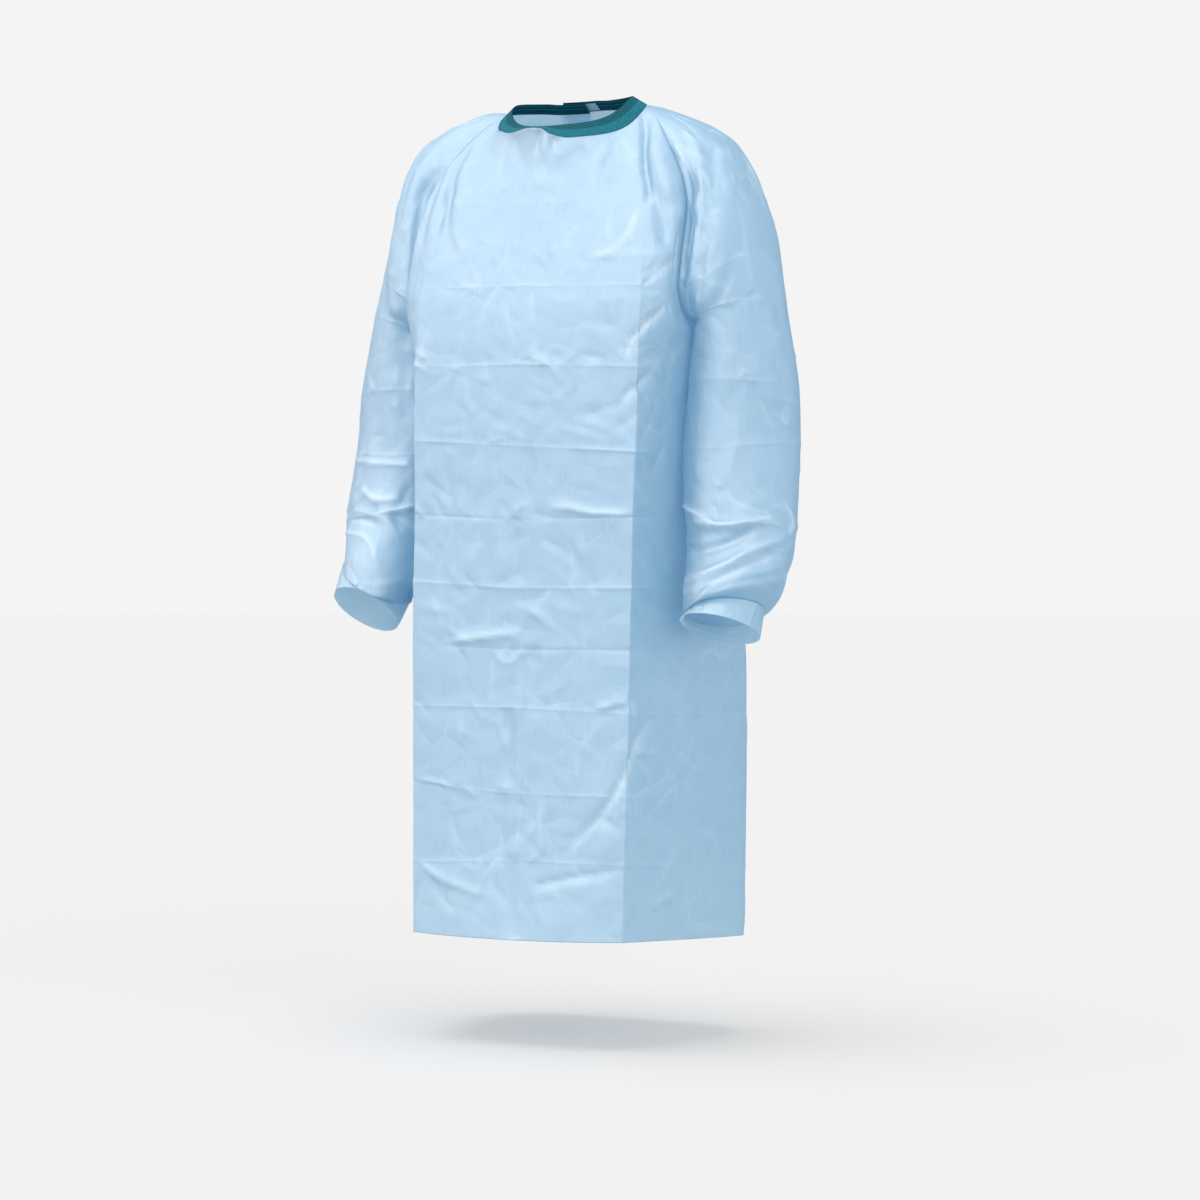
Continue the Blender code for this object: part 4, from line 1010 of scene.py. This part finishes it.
def bound_edge(seam_point):
    """The point of the bound edge in line with a point of the neck seam, lapped as the back is."""
    x = seam_point[:, 0] / SEAM_RING_X
    behind = seam_point[:, 1] > 0
    sine = np.sqrt(np.maximum(1 - x * x, 0)) * np.where(behind, 1, -1)
    seam_y = sine * np.where(behind, SEAM_RING_BACK, SEAM_RING_FRONT)
    bound_y = sine * np.where(behind, BOUND_RING_BACK, BOUND_RING_FRONT)
    bound = stacked(BOUND_RING_X * x, bound_y, ring_height(BOUND_RING_RISE, bound_y))
    lap = seam_point - stacked(seam_point[:, 0], seam_y, ring_height(SEAM_RING_RISE, seam_y))
    return bound + np.where(behind[:, None], lap, 0)


BACK_NECK_POINTS = 60


def back_neck_line(edge_x, lap_sign):
    """Points of the neck seam along one back panel, from its free edge to the raglan seam."""
    fold_x = BACK_ROWS[0].fold_x
    reach = np.interp(np.linspace(0, 1, BACK_NECK_POINTS), (0, 0.5, 1), (edge_x / fold_x, 1, 2))
    return back_point(reach, 0 * reach) + lap_offset(fold_x * reach, 0 * reach, lap_sign)


def neck_line():
    """Points of the neck seam from the left panel's lapped edge round to the right one's."""
    left = back_neck_line(LEFT_EDGE_X, 1)
    right = back_neck_line(-RIGHT_EDGE_X, -1)[::-1] * (-1, 1, 1)
    sleeve = neck_seam(np.linspace(SLEEVE_NECK_ANGLES[-1], SLEEVE_NECK_ANGLES[0], 24))[1:]
    front = front_point(np.linspace(2, -2, 200), np.zeros(200))[1:]
    return np.concatenate([left, sleeve, front, sleeve[::-1][1:] * (-1, 1, 1), right[1:]])


BINDING_GAP = 1.1          # between the outer and the inner layer
BINDING_CROWN = 0.15       # how far the outer layer rounds out at half its height
BINDING_COLUMNS, OUTER_ROWS, INNER_ROWS = 420, 16, 12
FOLD_TURNS = 7             # steps of the half turn over the neck edge
FOLD_RISE = 0.7            # how high it stands, as a share of the gap


def binding_sheet():
    """The strip's rows, from the outer edge up over the fold and down inside, and the two lines
    that it runs along."""
    seam = neck_line()
    length = run_lengths(seam, 0)
    even = np.linspace(0, length[-1], BINDING_COLUMNS)
    seam = between_rows(even, length, seam)
    bound = bound_edge(seam)
    along = np.gradient(seam, axis=0)
    outward = np.cross(bound - seam, along)
    outward /= np.linalg.norm(outward, axis=1, keepdims=True)
    rows = []
    for share in np.linspace(0.0, 1.0, OUTER_ROWS):
        crown = BINDING_CROWN * math.sin(math.pi * share) + BINDING_GAP / 2
        rows.append(seam + (bound - seam) * share + outward * crown)
    tip = (bound - seam) / np.linalg.norm(bound - seam, axis=1, keepdims=True)
    for turn in np.linspace(0, math.pi, FOLD_TURNS)[1:-1]:
        side = outward * BINDING_GAP / 2 * math.cos(turn)
        rows.append(bound + side + tip * BINDING_GAP * FOLD_RISE * math.sin(turn))
    for share in np.linspace(1.0, 0.0, INNER_ROWS):
        rows.append(seam + (bound - seam) * share - outward * BINDING_GAP / 2)
    return np.array(rows), bound, seam


def knit(name):
    """Teal knit: fine ribs across the strip; its upper part is darker, with rows of thread."""
    material, tree, shader = new_finish(name, 0.75, 0.04)
    place = add_node(tree, "SeparateXYZ", {"Vector": scaled_map(tree, (1, 1 / STRIP_WIDTH, 1))})
    bands = ramp(tree, place.outputs["Y"], TEAL, DARK_TEAL, BAND_START - 0.01, BAND_START + 0.01)
    thread = ((-0.014, DARK_TEAL), (-0.007, THREAD_TEAL), (0.007, THREAD_TEAL), (0.014, DARK_TEAL))
    for row in THREAD_ROWS:
        for offset, colour in thread:
            bands.node.color_ramp.elements.new(row + offset).color = (*colour, 1)
    fibres = noise(tree, scaled_map(tree, (1, 0.2, 1)), 900.0, 3.0, 0.6)
    cloudy = ramp(tree, fibres, (0.72, 0.72, 0.72), (1.25, 1.25, 1.25))
    shade = add_node(tree, "Mix", {6: bands, 7: cloudy}, data_type="RGBA", blend_type="MULTIPLY", Factor=1.0)
    ribs = add_node(tree, "TexWave", {"Vector": scaled_map(tree, (1, 1, 1))}, Scale=260.0, Distortion=0.6,
                    Detail=1.0)
    relief = bump(tree, ribs.outputs["Fac"], 0.5, 0.0004)
    feed(tree, shader, {"Base Color": shade.outputs[2], "Normal": relief})
    return material


STRIP_WIDTH = 0.050        # outer and inner layer
BAND_START = 0.27          # where the darker part starts, as a share of the strip from the neck seam
THREAD_ROWS = (0.31, 0.37, 0.43, 0.56, 0.72)
TEAL, DARK_TEAL, THREAD_TEAL = (0.018, 0.195, 0.260), (0.002, 0.070, 0.098), (0.030, 0.210, 0.270)
points, bound, seam = binding_sheet()
binding = cloth_sheet("neck_binding_knit", points, False, wall=0.5)
binding.data.materials.append(knit("teal_knit"))
binding.modifiers["wall"].material_offset = 0
seat(binding, "neck_binding", "binding", (0.052, 0.66))


# ---------------------------------------------------------------- hook and loop patches
# Two small grey-blue patches of tape that close the neck behind: loops inside the binding's left
# end, hooks outside its right end.  Both are sewn flat to the knit.

PATCH_OFF = 1.53           # from the middle of the binding to the middle of a patch
PATCH_WALL = 0.9
PATCH_HEIGHT = 0.017       # metres
PATCH_TOP, PATCH_FOOT = 0.14, 0.86         # as shares of the binding's height
END_COLUMNS = 60           # those of the binding that lie behind a patch


def tape(name):
    """Grey-blue tape with a fine square grid of loops or hooks."""
    material, tree, shader = new_finish(name, 0.8, 0.2)
    grid = add_node(tree, "Math", operation="MULTIPLY")
    for slot, direction in enumerate("XY"):
        lines = add_node(tree, "TexWave", {"Vector": scaled_map(tree, (1, 1, 1))}, bands_direction=direction,
                         Scale=190.0, Distortion=0.5, Detail=1.0)
        feed(tree, grid, {slot: lines.outputs["Fac"]})
    marks = grid.outputs["Value"]
    colour = ramp(tree, marks, (0.26, 0.44, 0.58), (0.62, 0.78, 0.90), 0.1, 0.6)
    feed(tree, shader, {"Base Color": colour, "Normal": bump(tree, marks, 0.8, 0.0006)})
    return material


def add_patch(name, node, first, span, side):
    """A patch on one end of the binding, its first or its last; span is the patch's two ends, and
    side is 1 inside the left end of the binding, -1 outside the right one."""
    ends = slice(0, END_COLUMNS) if first else slice(-END_COLUMNS, None)
    order = np.argsort(seam[ends, 0])
    low, high = seam[ends][order], bound[ends][order]
    places = np.linspace(*span, 24)
    top, foot = (between_rows(places, low[:, 0], line) for line in (high, low))
    drops = np.linspace(PATCH_TOP, PATCH_FOOT, 10)[:, None, None]
    points = top + (foot - top) * drops - side * PATCH_OFF * lap_direction(np.zeros(1))
    piece = cloth_sheet(name, points, True, wall=PATCH_WALL)
    piece.modifiers["wall"].offset = 0.0
    piece.modifiers["wall"].material_offset = 0
    piece.data.materials.append(TAPE)
    seat(piece, node, "patch", ((span[1] - span[0]) * MM, PATCH_HEIGHT))


TAPE = tape("grey_blue_tape")
add_patch("loop_patch_tape", "loop_patch", True, (-41.0, 11.0), 1)
add_patch("hook_patch_tape", "hook_patch", False, (-43.0, -9.0), -1)


# ---------------------------------------------------------------- floor, light and camera
# A plain pale floor under the gown, soft light from above and in front with a pale studio to
# shine in the film, and the camera at the height of its middle, turned to the wearer's left.

FLOOR_Z = -1.27
FLOOR_SIZE = 120.0
FLOOR_COLOUR, FLOOR_GLOW = (0.556, 0.59, 0.641, 1), (0.270, 0.229, 0.172, 1)
floor_corners = [(x * FLOOR_SIZE, y * FLOOR_SIZE, FLOOR_Z) for x, y in ((-1, -1), (1, -1), (1, 1), (-1, 1))]
floor_mesh = bpy.data.meshes.new("floor")
floor_mesh.from_pydata(floor_corners, [], [(0, 1, 2, 3)])
floor = add_object("floor", floor_mesh)
floor_paint, _, floor_shader = new_finish("floor_paint", 1.0, 0.0)
floor_shader.inputs["Base Color"].default_value = FLOOR_COLOUR
floor_shader.inputs["Emission Color"].default_value = FLOOR_GLOW
floor_shader.inputs["Emission Strength"].default_value = 1.0
floor_mesh.materials.append(floor_paint)

VIEW_TURN = math.radians(27)
RIGHT_OF_VIEW = np.array([math.cos(VIEW_TURN), math.sin(VIEW_TURN), 0])
TO_VIEWER = np.array([math.sin(VIEW_TURN), -math.cos(VIEW_TURN), 0])
UP = np.array([0, 0, 1])


def turn_to(thing, direction):
    """Turns a lamp or the camera so that it looks against the direction."""
    thing.rotation_mode = "QUATERNION"
    thing.rotation_quaternion = Vector(direction).to_track_quat("Z", "Y")


def add_lamp(name, left, front, up, strength, spread, gloss_only=False):
    """A wide, far light; its direction is told as the camera sees the gown.  One for gloss alone
    shows in the film's shine but doesn't light the cloth."""
    lamp = bpy.data.lights.new(name, "SUN")
    lamp.energy = strength
    lamp.angle = math.radians(spread)
    holder = add_object(name, lamp)
    turn_to(holder, -RIGHT_OF_VIEW * left + TO_VIEWER * front + UP * up)
    holder.visible_diffuse = not gloss_only


add_lamp("key", 0.15, 0.0, 0.98, 1.3, 45)
add_lamp("fill", -0.45, 0.82, 0.30, 0.72, 50)
add_lamp("gloss_from_left", 0.84, 0.36, 0.40, 9.0, 125, True)
add_lamp("gloss_from_right", -0.80, 0.30, 0.40, 2.2, 90, True)

BACKDROP, STUDIO_LIGHT = 0.905, 0.64
world = bpy.data.worlds.new("studio")
bpy.context.scene.world = world
world.use_nodes = True
tree = world.node_tree
lit = tree.nodes["Background"]
lit.inputs["Color"].default_value = (1, 1, 1, 1)
lit.inputs["Strength"].default_value = STUDIO_LIGHT
seen = add_node(tree, "Background", Color=(BACKDROP, BACKDROP, BACKDROP, 1), Strength=1.0)
path = add_node(tree, "LightPath")
choice = add_node(tree, "MixShader", {"Fac": path.outputs["Is Camera Ray"], 1: lit.outputs["Background"],
                                      2: seen.outputs["Background"]})
feed(tree, tree.nodes["World Output"], {"Surface": choice.outputs["Shader"]})

CAMERA_DISTANCE = 4.5
AIM_RIGHT, AIM_DOWN = 0.03892, 0.670
SENSOR_WIDTH, LENS = 36.0, 97.11
CAMERA_AIM = Vector(RIGHT_OF_VIEW * AIM_RIGHT - UP * AIM_DOWN)
camera_data = bpy.data.cameras.new("camera")
camera_data.sensor_width = SENSOR_WIDTH
camera_data.lens = LENS
camera = add_object("camera", camera_data)
camera.location = CAMERA_AIM + Vector(TO_VIEWER * CAMERA_DISTANCE)
turn_to(camera, TO_VIEWER)
bpy.context.scene.camera = camera
bpy.context.scene.view_settings.view_transform = "Standard"
